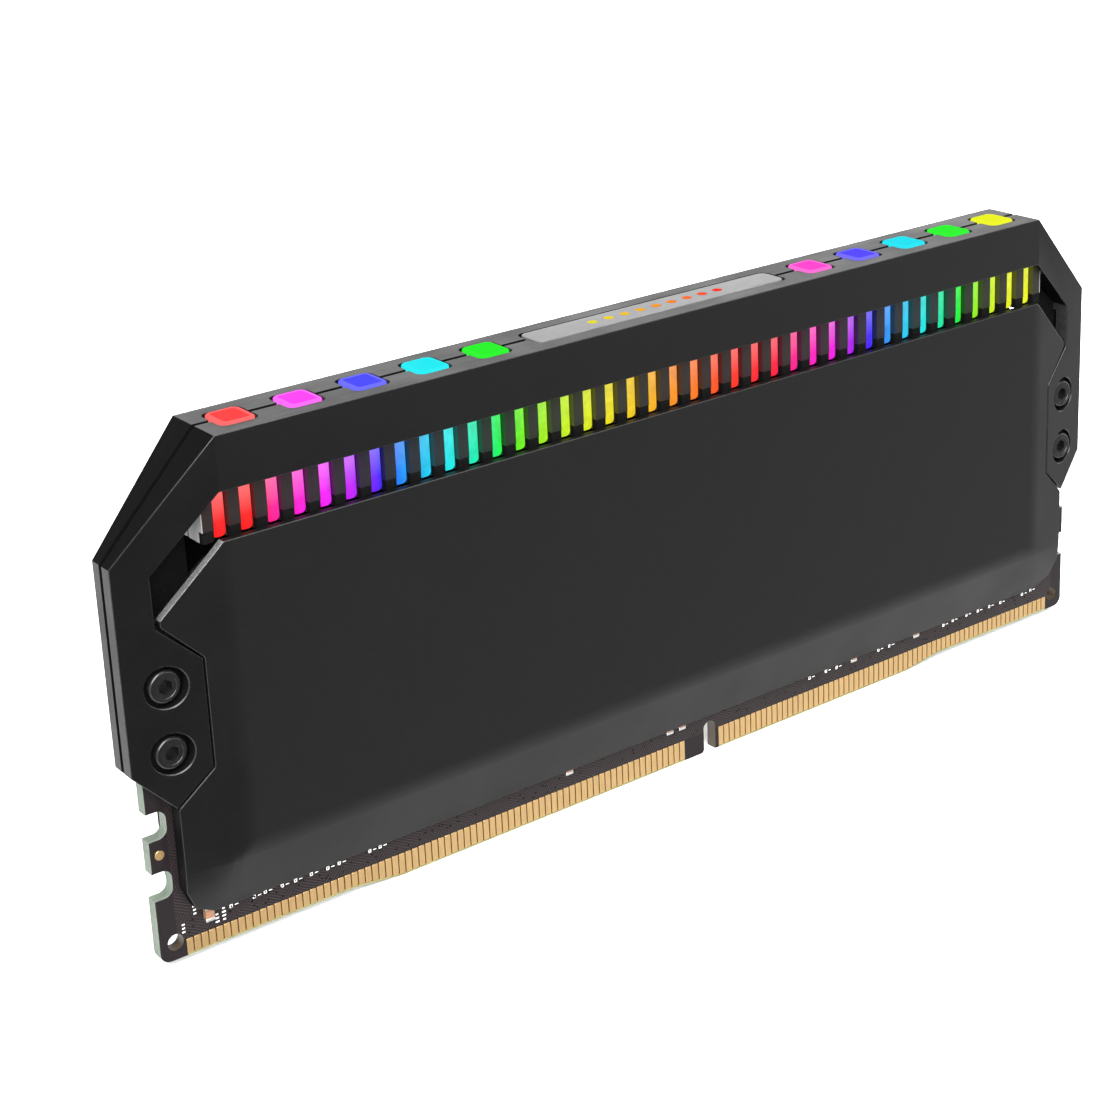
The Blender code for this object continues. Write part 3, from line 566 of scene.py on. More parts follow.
def make_materials():
    for finish in FINISHES:
        grained(*finish)
    make_mask_material()
    make_fin_material()
    make_guide_material("lit_guide", strength=1.05)
    make_guide_material("shaded_guide", strength=0.06)
    make_cap_material("cap_face", whiteness=0.05, strength=1.0)
    make_cap_material("cap_rim", whiteness=0.14, strength=1.05)
    make_cap_material("plate_mark", whiteness=0.0, strength=1.0, stepped=False)


# ---- mesh helpers

def arc(centre_u, centre_v, radius, start, end, steps):
    """Points along an arc, angles in degrees, both ends included."""
    points = []
    for step in range(steps + 1):
        angle = math.radians(start + (end - start) * step / steps)
        points.append((centre_u + radius * math.cos(angle), centre_v + radius * math.sin(angle)))
    return points


def circle(centre_u, centre_v, radius, steps=ROUND_STEPS, turn=0.0):
    return arc(centre_u, centre_v, radius, turn, turn + 360.0, steps)[:-1]


def rounded_rectangle(centre_u, centre_v, width, height, radius, steps=8):
    half_u = width / 2 - radius
    half_v = height / 2 - radius
    points = []
    for corner, (sign_u, sign_v) in enumerate(((1, 1), (-1, 1), (-1, -1), (1, -1))):
        start = 90.0 * corner
        points += arc(centre_u + sign_u * half_u, centre_v + sign_v * half_v, radius,
                      start, start + 90.0, steps)
    return points


def rectangle(centre_u, centre_v, width, height):
    half_u, half_v = width / 2, height / 2
    return [(centre_u - half_u, centre_v - half_v), (centre_u + half_u, centre_v - half_v),
            (centre_u + half_u, centre_v + half_v), (centre_u - half_u, centre_v + half_v)]


def mirrored(points):
    """The same outline on the other side of the middle, in the opposite order."""
    return [(-x, z) for x, z in reversed(points)]


def fillet(outline, radius, steps=6):
    """The outline with its corners rounded, by as much as its short edges allow."""
    rounded = []
    count = len(outline)
    for index, point in enumerate(outline):
        corner = Vector(point)
        before = Vector(outline[index - 1]) - corner
        after = Vector(outline[(index + 1) % count]) - corner
        turn = before.angle(after)
        cut = min(radius / math.tan(turn / 2), before.length * CORNER_SHARE,
                  after.length * CORNER_SHARE)
        start = corner + before.normalized() * cut
        end = corner + after.normalized() * cut
        for step in range(steps + 1):
            share = step / steps
            curve = start.lerp(corner, share).lerp(corner.lerp(end, share), share)
            rounded.append((curve.x, curve.y))
    return rounded


def outward(points):
    """For each point of an anticlockwise outline, the step that moves its two edges out by 1."""
    steps = []
    count = len(points)
    for index, (u, v) in enumerate(points):
        before = points[index - 1]
        after = points[(index + 1) % count]
        first = Vector((v - before[1], before[0] - u)).normalized()
        second = Vector((after[1] - v, u - after[0])).normalized()
        middle = (first + second).normalized()
        steps.append(middle / max(middle.dot(first), SHARPEST_CORNER))
    return steps


def moved_outline(points, distance):
    return [(u + step.x * distance, v + step.y * distance)
            for (u, v), step in zip(points, outward(points))]


def anticlockwise(points):
    area = sum(u * after[1] - after[0] * v
               for (u, v), after in zip(points, points[1:] + points[:1]))
    return points if area > 0 else points[::-1]


def quarter(steps):
    """Sine and cosine of evenly spaced angles from 0 to 90 degrees."""
    angles = [math.pi / 2 * step / steps for step in range(steps + 1)]
    return [(math.sin(angle), math.cos(angle)) for angle in angles]


def bridge(bm, loops):
    """Faces between loops of matching vertices."""
    for lower, upper in zip(loops, loops[1:]):
        for index in range(len(lower)):
            after = (index + 1) % len(lower)
            bm.faces.new((lower[index], lower[after], upper[after], upper[index]))


def add_rings(bm, rings):
    """Close a body through rings of matching points, with a flat face at each end."""
    loops = [[bm.verts.new(point) for point in ring] for ring in rings]
    bridge(bm, loops)
    return bm.faces.new(loops[0]), bm.faces.new(loops[-1])


def add_depth_prism(bm, outline, near, far):
    """An outline in X-Z, carried along Y."""
    add_rings(bm, [[(x, y, z) for x, z in outline] for y in (near, far)])


def add_column(bm, outline, low, high):
    """An outline in X-Y, carried along Z."""
    add_rings(bm, [[(x, y, z) for x, y in outline] for z in (low, high)])


def add_box(bm, centre_x, half_x, near, far, low, high):
    outline = rectangle(centre_x, (low + high) / 2, 2 * half_x, high - low)
    add_depth_prism(bm, outline, near, far)


def add_relief(bm, outline, near, far, edge):
    """A thin raised shape in X-Z, with its outer border broken."""
    outer = anticlockwise(outline)
    inner = moved_outline(outer, -edge)
    shoulder = far - math.copysign(edge, far - near)
    levels = ((outer, near), (outer, shoulder), (inner, far))
    add_rings(bm, [[(x, depth, z) for x, z in points] for points, depth in levels])


def split_sheet(outline, x_lines, z_lines):
    """A flat X-Z sheet, cut along lines where its depth changes."""
    bm = bmesh.new()
    bm.faces.new([bm.verts.new((x, 0.0, z)) for x, z in outline])
    cuts = [(Vector((1.0, 0.0, 0.0)), line) for line in x_lines]
    cuts += [(Vector((0.0, 0.0, 1.0)), line) for line in z_lines]
    for axis, line in cuts:
        geometry = bm.verts[:] + bm.edges[:] + bm.faces[:]
        bmesh.ops.bisect_plane(bm, geom=geometry, dist=TOLERANCE, plane_co=axis * line,
                               plane_no=axis)
    return bm


def border_loop(bm):
    following = {}
    for face in bm.faces:
        for loop in face.loops:
            if loop.edge.is_boundary:
                following[loop.vert] = loop.link_loop_next.vert
    start = next(iter(following))
    loop = [start]
    while following[loop[-1]] is not start:
        loop.append(following[loop[-1]])
    return loop


def plate(outline, x_lines, z_lines, face, back, edge, steps=3):
    """A closed body over an X-Z outline, from face(x, z) to back(x, z), with a rounded border."""
    outline = anticlockwise(outline)
    bm = split_sheet(moved_outline(outline, -edge), x_lines, z_lines)
    sheet = list(bm.verts)
    faces = list(bm.faces)
    border = border_loop(bm)
    flat = [(vert.co.x, vert.co.z) for vert in border]
    if anticlockwise(flat) is not flat:
        border.reverse()
        flat.reverse()
    away = dict(zip(border, outward(flat)))

    def place(vert, distance):
        step = away.get(vert)
        if step is None:
            return vert.co.x, vert.co.z
        return vert.co.x + step.x * distance, vert.co.z + step.y * distance

    back_verts = {}
    for vert in sheet:
        x, z = place(vert, edge)
        back_verts[vert] = bm.verts.new((x, back(x, z), z))
    inwards = math.copysign(1.0, back(0.0, SPREADER_TOP) - face(0.0, SPREADER_TOP))
    rings = [border]
    for sine, cosine in quarter(steps)[1:]:
        ring = []
        for vert in border:
            x, z = place(vert, edge * sine)
            depth = face(vert.co.x, vert.co.z) + inwards * edge * (1.0 - cosine)
            ring.append(bm.verts.new((x, depth, z)))
        rings.append(ring)
    rings.append([back_verts[vert] for vert in border])
    for flat_face in faces:
        bm.faces.new([back_verts[vert] for vert in reversed(flat_face.verts)])
    for vert in sheet:
        vert.co.y = face(vert.co.x, vert.co.z)
    bridge(bm, rings)
    return bm


def add_object(name, data):
    obj = bpy.data.objects.new(name, data)
    bpy.context.scene.collection.objects.link(obj)
    return obj


def add_body(name, bm, finishes=()):
    """An object with a body's mesh and the finishes of its faces. The body is used up."""
    mesh = bpy.data.meshes.new(name)
    bm.to_mesh(mesh)
    bm.free()
    for finish in finishes:
        mesh.materials.append(MATERIALS[finish])
    return add_object(name, mesh)


def paint(bm, finishes, choose):
    """Give each face the finish that choose(face) names."""
    for face in bm.faces:
        face.material_index = finishes.index(choose(face))


def within(value, limits):
    return limits[0] < value < limits[1]


def make_piece(name, bm, finishes, replaces=(), weighted=False):
    """A finished piece of the object: it rides on the part and may stand for CAD nodes."""
    bmesh.ops.recalc_face_normals(bm, faces=bm.faces)
    piece = add_body(name, bm, finishes)
    piece.data.shade_smooth()
    piece.data.set_sharp_from_angle(angle=SHARP_ANGLE)
    if weighted:
        modifier = piece.modifiers.new("even_shading", "WEIGHTED_NORMAL")
        modifier.keep_sharp = True
    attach(piece, "root")
    if replaces:
        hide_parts(*replaces)


def carved(bm, cutters):
    """The body with each cutter's body taken away."""
    objects = []
    for number, body in enumerate([bm] + cutters):
        bmesh.ops.recalc_face_normals(body, faces=body.faces)
        objects.append(add_body(f"carving_{number}", body))
    for cutter in objects[1:]:
        modifier = objects[0].modifiers.new(cutter.name, "BOOLEAN")
        modifier.operation = "DIFFERENCE"
        modifier.solver = "EXACT"
        modifier.object = cutter
    evaluated = objects[0].evaluated_get(bpy.context.evaluated_depsgraph_get())
    result = bmesh.new()
    result.from_mesh(evaluated.data)
    slits = [edge for edge in result.edges if edge.is_boundary]
    bmesh.ops.holes_fill(result, edges=slits, sides=4)
    for obj in objects:
        mesh = obj.data
        bpy.data.objects.remove(obj, do_unlink=True)
        bpy.data.meshes.remove(mesh)
    return result


def spread_lines(start, end, spacing):
    count = max(1, round(abs(end - start) / spacing))
    return [start + (end - start) * step / count for step in range(count + 1)]


# ---- circuit board

def screw_centres():
    """Each screw's place in X-Z, by its end and level names, read from the CAD."""
    centres = {}
    for end_name in END_NAMES:
        for level_name in LEVEL_NAMES:
            low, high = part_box(f"front_{end_name}_{level_name}_screw")
            centres[(end_name, level_name)] = ((low.x + high.x) / 2, (low.z + high.z) / 2)
    return centres


def edge_level(x):
    """Height of the contact edge: it is level in the middle and higher at the ends."""
    share = (abs(x) - EDGE_RISE_INNER) / (EDGE_RISE_OUTER - EDGE_RISE_INNER)
    return EDGE_RISE * min(1.0, max(0.0, share))


def board_outline():
    corner = arc(BOARD_END - BOARD_CORNER, EDGE_RISE + BOARD_CORNER, BOARD_CORNER, 270.0, 360.0, 8)
    right = [(EDGE_RISE_INNER, 0.0), (EDGE_RISE_OUTER, EDGE_RISE)] + corner
    inner = BOARD_END - LATCH_NOTCH_DEPTH + LATCH_NOTCH_RADIUS
    for low, high in LATCH_NOTCHES:
        right.append((BOARD_END, low))
        right += arc(inner, low + LATCH_NOTCH_RADIUS, LATCH_NOTCH_RADIUS, 270.0, 180.0, 10)
        right += arc(inner, high - LATCH_NOTCH_RADIUS, LATCH_NOTCH_RADIUS, 180.0, 90.0, 10)
        right.append((BOARD_END, high))
    right += [(BOARD_END, PAINTED_SHADE_EDGE_TOP), (BOARD_END, BOARD_SHOULDER), (BOARD_TOP_HALF, BOARD_TOP)]
    half_key = KEY_WIDTH / 2
    key = arc(KEY_CENTRE - half_key - KEY_CORNER, KEY_CORNER, KEY_CORNER, 270.0, 360.0, 8)
    key += arc(KEY_CENTRE, KEY_DEPTH - half_key, half_key, 180.0, 0.0, 20)
    key.append((KEY_CENTRE + half_key, 0.0))
    return key + right + mirrored(right)


def board_depths(side, below, above):
    """Where a thin layer on a face of the board starts and ends along Y."""
    return side * (BOARD_FACE - below), side * (BOARD_FACE + above)


def make_board():
    bm = plate(board_outline(), [], [], lambda x, z: -BOARD_FACE, lambda x, z: BOARD_FACE,
               BOARD_EDGE, steps=1)
    holes = bmesh.new()
    hole_x, hole_z = TOOLING_HOLE
    for sign in (-1, 1):
        add_depth_prism(holes, circle(sign * hole_x, hole_z, TOOLING_HOLE_RADIUS), -REACH, REACH)
    for centre in screw_centres().values():
        add_depth_prism(holes, circle(*centre, SPACER_HOLE_RADIUS), -REACH, REACH)
    bm = carved(bm, [holes])

    def finish(face):
        centre = face.calc_center_median()
        # Mask faces, and the cut edge above the painted shade level, get the solder mask's black
        if abs(face.normal.y) > ALIGNED or centre.z > PAINTED_SHADE_EDGE_TOP:
            return "solder_mask"
        in_hole = math.hypot(abs(centre.x) - hole_x, centre.z - hole_z) < TOOLING_HOLE_REACH
        in_key = abs(centre.x - KEY_CENTRE) < KEY_REACH and centre.z < KEY_DEPTH + BOARD_EDGE
        # Walls in the holes and the key notch get the darker painted shade
        return "hole_wall" if in_hole or in_key else "board_laminate"

    finishes = ("solder_mask", "board_laminate", "hole_wall")
    paint(bm, finishes, finish)
    make_piece("board", bm, finishes, ["circuit_board"])


def contact_places():
    left, right = CONTACT_COUNTS
    places = [-CONTACT_LAST + CONTACT_PITCH * number for number in range(left)]
    places += [CONTACT_LAST - CONTACT_PITCH * number for number in range(right)]
    return places


def make_contacts():
    for side, name in SIDES:
        bm = bmesh.new()
        depths = board_depths(side, CONTACT_RELIEF, CONTACT_RELIEF)
        for place in contact_places():
            bottom = edge_level(place) + EDGE_BAND
            outline = rounded_rectangle(place, (bottom + CONTACT_TOP) / 2, CONTACT_WIDTH,
                                        CONTACT_TOP - bottom, CONTACT_CORNER, steps=2)
            add_relief(bm, outline, *depths, CONTACT_RELIEF / 2)
        make_piece(f"{name}_contacts", bm, ["contact_gold"])


def contact_runs():
    """The two rows of contacts as points along X, with one where the edge bends."""
    margin = CONTACT_WIDTH / 2
    left, right = CONTACT_COUNTS
    key_left = -CONTACT_LAST + CONTACT_PITCH * (left - 1) + margin
    key_right = CONTACT_LAST - CONTACT_PITCH * (right - 1) - margin
    end = CONTACT_LAST + margin
    return ([-end, -EDGE_RISE_OUTER, -EDGE_RISE_INNER, key_left],
            [key_right, EDGE_RISE_INNER, EDGE_RISE_OUTER, end])


def make_edge_bands():
    """Bare laminate along the contact edge, and the darker gaps between the contacts."""
    bands = bmesh.new()
    gaps = bmesh.new()
    for side, _ in SIDES:
        depths = board_depths(side, CONTACT_RELIEF, CONTACT_RELIEF / 4)
        for run in contact_runs():
            edge = [(x, edge_level(x) + BOARD_EDGE) for x in run]
            line = [(x, edge_level(x) + EDGE_BAND) for x in run]
            top = [(x, CONTACT_TOP - CONTACT_CORNER) for x in run]
            add_depth_prism(bands, edge + line[::-1], *depths)
            add_depth_prism(gaps, line + top[::-1], *depths)
    make_piece("contact_edge_bands", bands, ["bare_edge"])
    make_piece("contact_gaps", gaps, ["contact_gap"])


def make_fiducials():
    bm = bmesh.new()
    x, z = FIDUCIAL
    for side, _ in SIDES:
        depths = board_depths(side, CONTACT_RELIEF, CONTACT_RELIEF / 2)
        for sign in (-1, 1):
            outline = circle(sign * x, z, FIDUCIAL_RADIUS, steps=40)
            add_relief(bm, outline, *depths, CONTACT_RELIEF / 2)
    make_piece("fiducial_dots", bm, ["contact_gold"])


def make_vias():
    """Small plated holes, seen as dark rings, between the contacts and the spreaders."""
    rng = random.Random(VIA_SEED)
    bm = bmesh.new()
    for side, _ in SIDES:
        for _ in range(VIA_COUNT):
            x = rng.uniform(-CONTACT_LAST, CONTACT_LAST)
            z = rng.uniform(*VIA_STRIP)
            if abs(x - KEY_CENTRE) < KEY_WIDTH:
                continue
            outline = circle(x, z, VIA_RADIUS, steps=10)
            add_relief(bm, outline, *board_depths(side, INK, INK), INK / 2)
    make_piece("board_vias", bm, ["via_rim"])


def add_frame_mark(bm, side, x, z, width, height):
    """A small ink outline, as printed round a place for a part."""
    depths = board_depths(side, INK_LINE / 20, INK)
    for across in (-1, 1):
        bars = (rectangle(x + across * width / 2, z, INK_LINE, height + INK_LINE),
                rectangle(x, z + across * height / 2, width, INK_LINE))
        for bar in bars:
            add_depth_prism(bm, bar, *depths)


def add_dash(bm, side, x, z, width, height):
    add_depth_prism(bm, rectangle(x, z, width, height), *board_depths(side, INK / 2, INK))


def make_marks():
    """Plain ink marks of no meaning, where a real board has its part labels."""
    rng = random.Random(MARK_SEED)
    bm = bmesh.new()
    dash_away, dash_length = MARK_DASH
    for side, _ in SIDES:
        for place in EDGE_MARKS:
            x = -side * place * MM
            level = EDGE_MARK_LEVEL + rng.uniform(-MARK_DRIFT, MARK_DRIFT) * MM
            add_frame_mark(bm, side, x, level, *MARK_SIZE)
            add_dash(bm, side, x - side * dash_away, level, dash_length, INK_LINE)
        for inset, low, count in END_MARKS:
            for row in range(count):
                level = (low + END_MARK_PITCH * row) * MM
                add_dash(bm, side, side * (BOARD_END - inset * MM), level,
                         rng.choice(END_MARK_LENGTHS) * MM, END_MARK_HEIGHT)
    make_piece("board_marks", bm, ["white_ink"])


def make_capacitors():
    """Ceramic capacitors that stand half under the spreaders' lower edge."""
    width, length, thickness = CERAMIC_SIZE
    bodies = bmesh.new()
    ends = bmesh.new()
    for side, _ in SIDES:
        near = side * BOARD_FACE
        for place_x, place_z in CERAMIC_PLACES:
            x, z = -side * place_x * MM, place_z * MM
            body = rectangle(x, z, width, length - 2 * CERAMIC_END)
            add_depth_prism(bodies, body, near, near + side * (thickness - CERAMIC_STEP))
            for sign in (-1, 1):
                level = z + sign * (length - CERAMIC_END) / 2
                outline = rounded_rectangle(x, level, width + CERAMIC_FLARE, CERAMIC_END,
                                            CERAMIC_CORNER, steps=3)
                add_relief(ends, outline, near, near + side * thickness, CERAMIC_EDGE)
    make_piece("capacitor_bodies", bodies, ["capacitor_ceramic"])
    make_piece("capacitor_ends", ends, ["tinned_ends"])


# ---- heat spreaders

def band_fall(distance, run, fall, softness):
    """How far a face has dropped, past a soft crease into a straight slope."""
    slope = fall / (run - softness / 2)
    if distance <= 0.0:
        return 0.0
    if distance < softness:
        return slope * distance ** 2 / (2 * softness)
    return slope * (distance - softness / 2)


def spreader_depth(x, z):
    """Distance of a spreader's outer face from the board's middle."""
    start, end, fall, softness = SIDE_BAND
    side = band_fall(abs(x) - start, end - start, fall, softness)
    start, end, fall, softness = LOWER_BAND
    lower = band_fall(start - z, start - end, fall, softness)
    return FRAME_DEPTH - (side ** 3 + lower ** 3) ** (1 / 3)


def spreader_back(x, z):
    """Distance of its inner face: a thin wall above, a shallow pocket below."""
    if z > HOLLOW_BOTTOM and (abs(x) < HOLLOW_WAIST or z > HOLLOW_END_LEVEL):
        return spreader_depth(x, z) - SPREADER_WALL
    in_pocket = abs(x) < SPREADER_POCKET_HALF and z > SPREADER_POCKET_BOTTOM
    return SPREADER_POCKET if in_pocket else SPREADER_BACK


def spreader_outline():
    """The spreader's edge, which follows the frame's leg at a small gap."""
    slant = LEG_GAP * math.tan(HALF_LEG_TURN)
    run, rise = SPREADER_CORNER
    end = SPREADER_HALF_LENGTH
    right = [(end - run, SPREADER_BOTTOM), (end - run / 3, SPREADER_BOTTOM + rise / 3),
             (end, SPREADER_BOTTOM + rise), (end, LEG_TIP[1] - LEG_GAP - slant),
             (LEG_INNER - LEG_GAP, LEG_INNER_LOW - slant),
             (LEG_INNER - LEG_GAP, LEG_INNER_HIGH + slant),
             (end, SPREADER_CHAMFER_LOW - SPREADER_NOTCH), (end, SPREADER_CHAMFER_LOW),
             (SPREADER_TOP_HALF, SPREADER_TOP)]
    return right + mirrored(right)


def band_lines(band, turn):
    """Lines that cut a sheet where a band's depth changes, fine along its soft crease."""
    start, end, _, softness = band
    crease = start + turn * softness
    return spread_lines(start, crease, CREASE_SPACING) + spread_lines(crease, end, SLOPE_SPACING)[1:-1]


def make_spreaders():
    side_lines = band_lines(SIDE_BAND, 1)
    for line in (SPREADER_POCKET_HALF, HOLLOW_WAIST):
        side_lines += [line - POCKET_STEP, line]
    x_lines = sorted([-line for line in side_lines] + side_lines)
    z_lines = band_lines(LOWER_BAND, -1)
    for line in (SPREADER_POCKET_BOTTOM, HOLLOW_BOTTOM, HOLLOW_END_LEVEL):
        z_lines += [line, line + POCKET_STEP]
    outline = fillet(spreader_outline(), SPREADER_FILLET)
    finishes = ("spreader_black", "spreader_cut_edge", "hollow_black", "worn_edge")

    def finish(face):
        over_window = face.calc_center_median().z > SPREADER_CHAMFER_LOW - SPREADER_FILLET
        # The chamfer over the windows gets the painted highlight
        if over_window and min(face.normal.z, abs(face.normal.x)) > CUT_SLANT:
            return "spreader_cut_edge"
        # Side walls of the spreader get the painted shade black
        if abs(face.normal.x) > SPREADER_ALIGNED:
            return "hollow_black"
        # Rounded borders get the painted edge highlight
        highlighted = within(side * face.normal.y, SPREADER_BORDER)
        return "worn_edge" if highlighted else "spreader_black"

    for side, name in SIDES:
        bm = plate(outline, x_lines, z_lines, lambda x, z: side * spreader_depth(x, z),
                   lambda x, z: side * spreader_back(x, z), SPREADER_EDGE)
        bmesh.ops.recalc_face_normals(bm, faces=bm.faces)
        paint(bm, finishes, finish)
        make_piece(f"{name}_spreader_shell", bm, finishes,
                   [f"{name}_heat_spreader"], weighted=True)


# ---- frame halves

def end_fraction(x):
    """0 over the bar, rising to 1 at the outer edge of a leg."""
    return max(0.0, (abs(x) - FRAME_CREASE) / (FRAME_HALF_LENGTH - FRAME_CREASE))


def frame_face(x):
    return FRAME_DEPTH + (FRAME_END_DEPTH - FRAME_DEPTH) * end_fraction(x)


def frame_outline():
    right = [(FRAME_CREASE, FRAME_BAR_BOTTOM), (WINDOW_EDGE, WINDOW_HIGH),
             (WINDOW_EDGE, WINDOW_LOW), (LEG_INNER, LEG_INNER_HIGH), (LEG_INNER, LEG_INNER_LOW),
             LEG_TIP, (FRAME_HALF_LENGTH, LEG_BOTTOM), (FRAME_HALF_LENGTH, FRAME_SHOULDER),
             (FRAME_CREASE, FRAME_TOP)]
    return right + mirrored(right)


def top_openings():
    """Rounded openings in the bar for the caps and the name plate, read from the CAD."""
    bm = bmesh.new()
    blocks = [(f"light_cap_{number}", CAP_RADIUS) for number in range(1, len(CAP_SLOTS) + 1)]
    blocks.append(("name_plate", PLATE_RADIUS))
    for node, radius in blocks:
        low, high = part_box(node)
        outline = rounded_rectangle((low.x + high.x) / 2, 0.0, high.x - low.x + 2 * OPENING_GAP,
                                    high.y - low.y + 2 * OPENING_GAP, radius + OPENING_GAP)
        add_column(bm, outline, LAMP_POCKET_TOP - MM, FRAME_TOP + REACH)
    return bm


def add_counterbore(bm, side, centre_x, centre_z):
    """A screw's recess, which widens where it breaks through the leg's slanted face."""
    rings = []
    for radius, rise in ((COUNTERBORE_RADIUS, None), (COUNTERBORE_RADIUS, -COUNTERBORE_FLARE),
                         (COUNTERBORE_RADIUS + 2 * COUNTERBORE_FLARE, COUNTERBORE_FLARE)):
        points = circle(centre_x, centre_z, radius)
        depths = [COUNTERBORE_FLOOR if rise is None else frame_face(x) + rise for x, _ in points]
        rings.append([(x, side * depth, z) for (x, z), depth in zip(points, depths)])
    add_rings(bm, rings)


def in_recess(face, side, centres):
    """Whether a face of a frame half lies inside one of the screws' recesses."""
    middle = face.calc_center_median()
    if side * middle.y > frame_face(middle.x) - COUNTERBORE_FLARE - RECESS_MARGIN:
        return False
    return any(math.hypot(middle.x - x, middle.z - z) < COUNTERBORE_RADIUS + RECESS_MARGIN / 2
               for x, z in centres)


def frame_cutters(side, centres):
    """What is taken out of a frame half: its pockets, screw holes and openings."""
    wall_inside = side * (FRAME_DEPTH - BAR_WALL)
    board_room = BOARD_END + BOARD_CLEARANCE
    pockets = ((COMB_POCKET_HALF, wall_inside, BOARD_SHOULDER, COMB_POCKET_TOP),
               (LAMP_POCKET_HALF, wall_inside, COMB_POCKET_TOP - MM, LAMP_POCKET_TOP),
               (board_room, side * (BOARD_FACE + BOARD_CLEARANCE), 0.0, BOARD_TOP))
    cutters = []
    for half, far, low, high in pockets:
        cutters.append(bmesh.new())
        add_box(cutters[-1], 0.0, half, -side * MM, far, low, high)
    counterbores = bmesh.new()
    shank_holes = bmesh.new()
    for centre in centres:
        add_depth_prism(shank_holes, circle(*centre, SHANK_HOLE_RADIUS), 0.0, side * REACH)
        add_counterbore(counterbores, side, *centre)
    return cutters + [counterbores, shank_holes, top_openings()]


def make_frame_halves():
    centres = list(screw_centres().values())
    finishes = ("frame_black", "frame_brushed_top", "worn_edge", "frame_grainy_end",
                "frame_dark_slope", "hollow_black")

    def finish(face):
        # Walls of the screws' recesses get the painted shade black
        if in_recess(face, side, centres):
            return "hollow_black"
        # The bar's top gets brushed streaks with painted sheen
        if face.normal.z > ALIGNED:
            return "frame_brushed_top"
        # Rounded borders get the painted edge highlight
        if within(side * face.normal.y, FRAME_BORDER):
            return "worn_edge"
        # The legs' end faces get grain with painted sheen
        if abs(face.normal.x) > ALIGNED:
            return "frame_grainy_end"
        # Faces turned up get the darker copy, as painted shade
        return "frame_dark_slope" if face.normal.z > SHOULDER_SLANT else "frame_black"

    for side, name in SIDES:
        bm = plate(frame_outline(), [-FRAME_CREASE, FRAME_CREASE], [],
                   lambda x, z: side * frame_face(x), lambda x, z: side * SEAM_HALF,
                   FRAME_EDGE)
        bm = carved(bm, frame_cutters(side, centres))
        bm.normal_update()
        paint(bm, finishes, finish)
        make_piece(f"{name}_frame_shell", bm, finishes, [f"{name}_frame"],
                   weighted=True)


def make_seam_fill():
    """A black lip inside each leg's seam and a web behind its window, which let no light by; they are
    painted shade, black where the seam and the window show the dark inside.
    """
    run = FRAME_HALF_LENGTH - FRAME_CREASE
    rise = FRAME_TOP - FRAME_SHOULDER
    slope = rise / run

    def shoulder_level(x, inset):
        return FRAME_SHOULDER + (FRAME_HALF_LENGTH - x) * slope - inset * math.hypot(rise, run) / run

    near, far = SEAM_FILL_INSETS
    right = [(SEAM_FILL_INNER, LEG_BOTTOM + near), (SEAM_FILL_OUTER, LEG_BOTTOM + near)]
    right += [(x, shoulder_level(x, near)) for x in (SEAM_FILL_OUTER, FRAME_CREASE)]
    right += [(x, shoulder_level(x, far)) for x in (FRAME_CREASE, SEAM_FILL_INNER)]
    fall = (BOARD_TOP - BOARD_SHOULDER) / (BOARD_END - BOARD_TOP_HALF)
    base = [(x, BOARD_SHOULDER + (BOARD_END - x) * fall + WEB_CLEARANCE)
            for x in (WEB_INNER, SEAM_FILL_INNER)]
    web = base + [(x, shoulder_level(x, far)) for x in (SEAM_FILL_INNER, WEB_INNER)]
    bm = bmesh.new()
    for outline in (right, mirrored(right), web, mirrored(web)):
        add_depth_prism(bm, outline, -SEAM_FILL_HALF, SEAM_FILL_HALF)
    make_piece("seam_painted_shade", bm, ["hollow_black"])


def make_fin_feet():
    """Black feet that fill the cut at the bottom of every fin's front, painted shade under the fins.
    """
    bm = bmesh.new()
    for side, _ in SIDES:
        for number in range(SLOT_COUNT + 1):
            place = (number - SLOT_COUNT / 2) * SLOT_PITCH
            add_box(bm, place, FIN_WIDTH / 2 - FOOT_INSET, side * FOOT_BACK,
                    side * (FIN_DEPTH - FOOT_INSET), FOOT_LOW, FOOT_HIGH + FOOT_INSET)
    make_piece("fin_feet_painted_shade", bm, ["hollow_black"])


# ---- lights

def make_guide():
    """Teeth of lit plastic between the fins, with rounded tips."""
    middle = (SLOT_COUNT - 1) / 2
    half = TOOTH_WIDTH / 2
    bottom = GUIDE_LOW.z + TOOTH_RADIUS
    outline = [(GUIDE_LOW.x, GUIDE_HIGH.z)]
    for number in range(SLOT_COUNT):
        place = (number - middle) * SLOT_PITCH
        if number > 0:
            outline.append((place - half, GUIDE_RAIL_BOTTOM))
        outline += arc(place - half + TOOTH_RADIUS, bottom, TOOTH_RADIUS, 180.0, 270.0, 8)
        outline += arc(place + half - TOOTH_RADIUS, bottom, TOOTH_RADIUS, 270.0, 360.0, 8)
        if number < SLOT_COUNT - 1:
            outline.append((place + half, GUIDE_RAIL_BOTTOM))
    outline.append((GUIDE_HIGH.x, GUIDE_HIGH.z))
    bm = bmesh.new()
    add_relief(bm, outline, GUIDE_LOW.y, GUIDE_HIGH.y, TOOTH_EDGE)
    bm.normal_update()
    finishes = ("lit_guide", "shaded_guide")
    paint(bm, finishes, lambda face: finishes[0 if abs(face.normal.y) > GUIDE_ALIGNED else 1])
    make_piece("light_guide_teeth", bm, finishes, ["light_guide"])


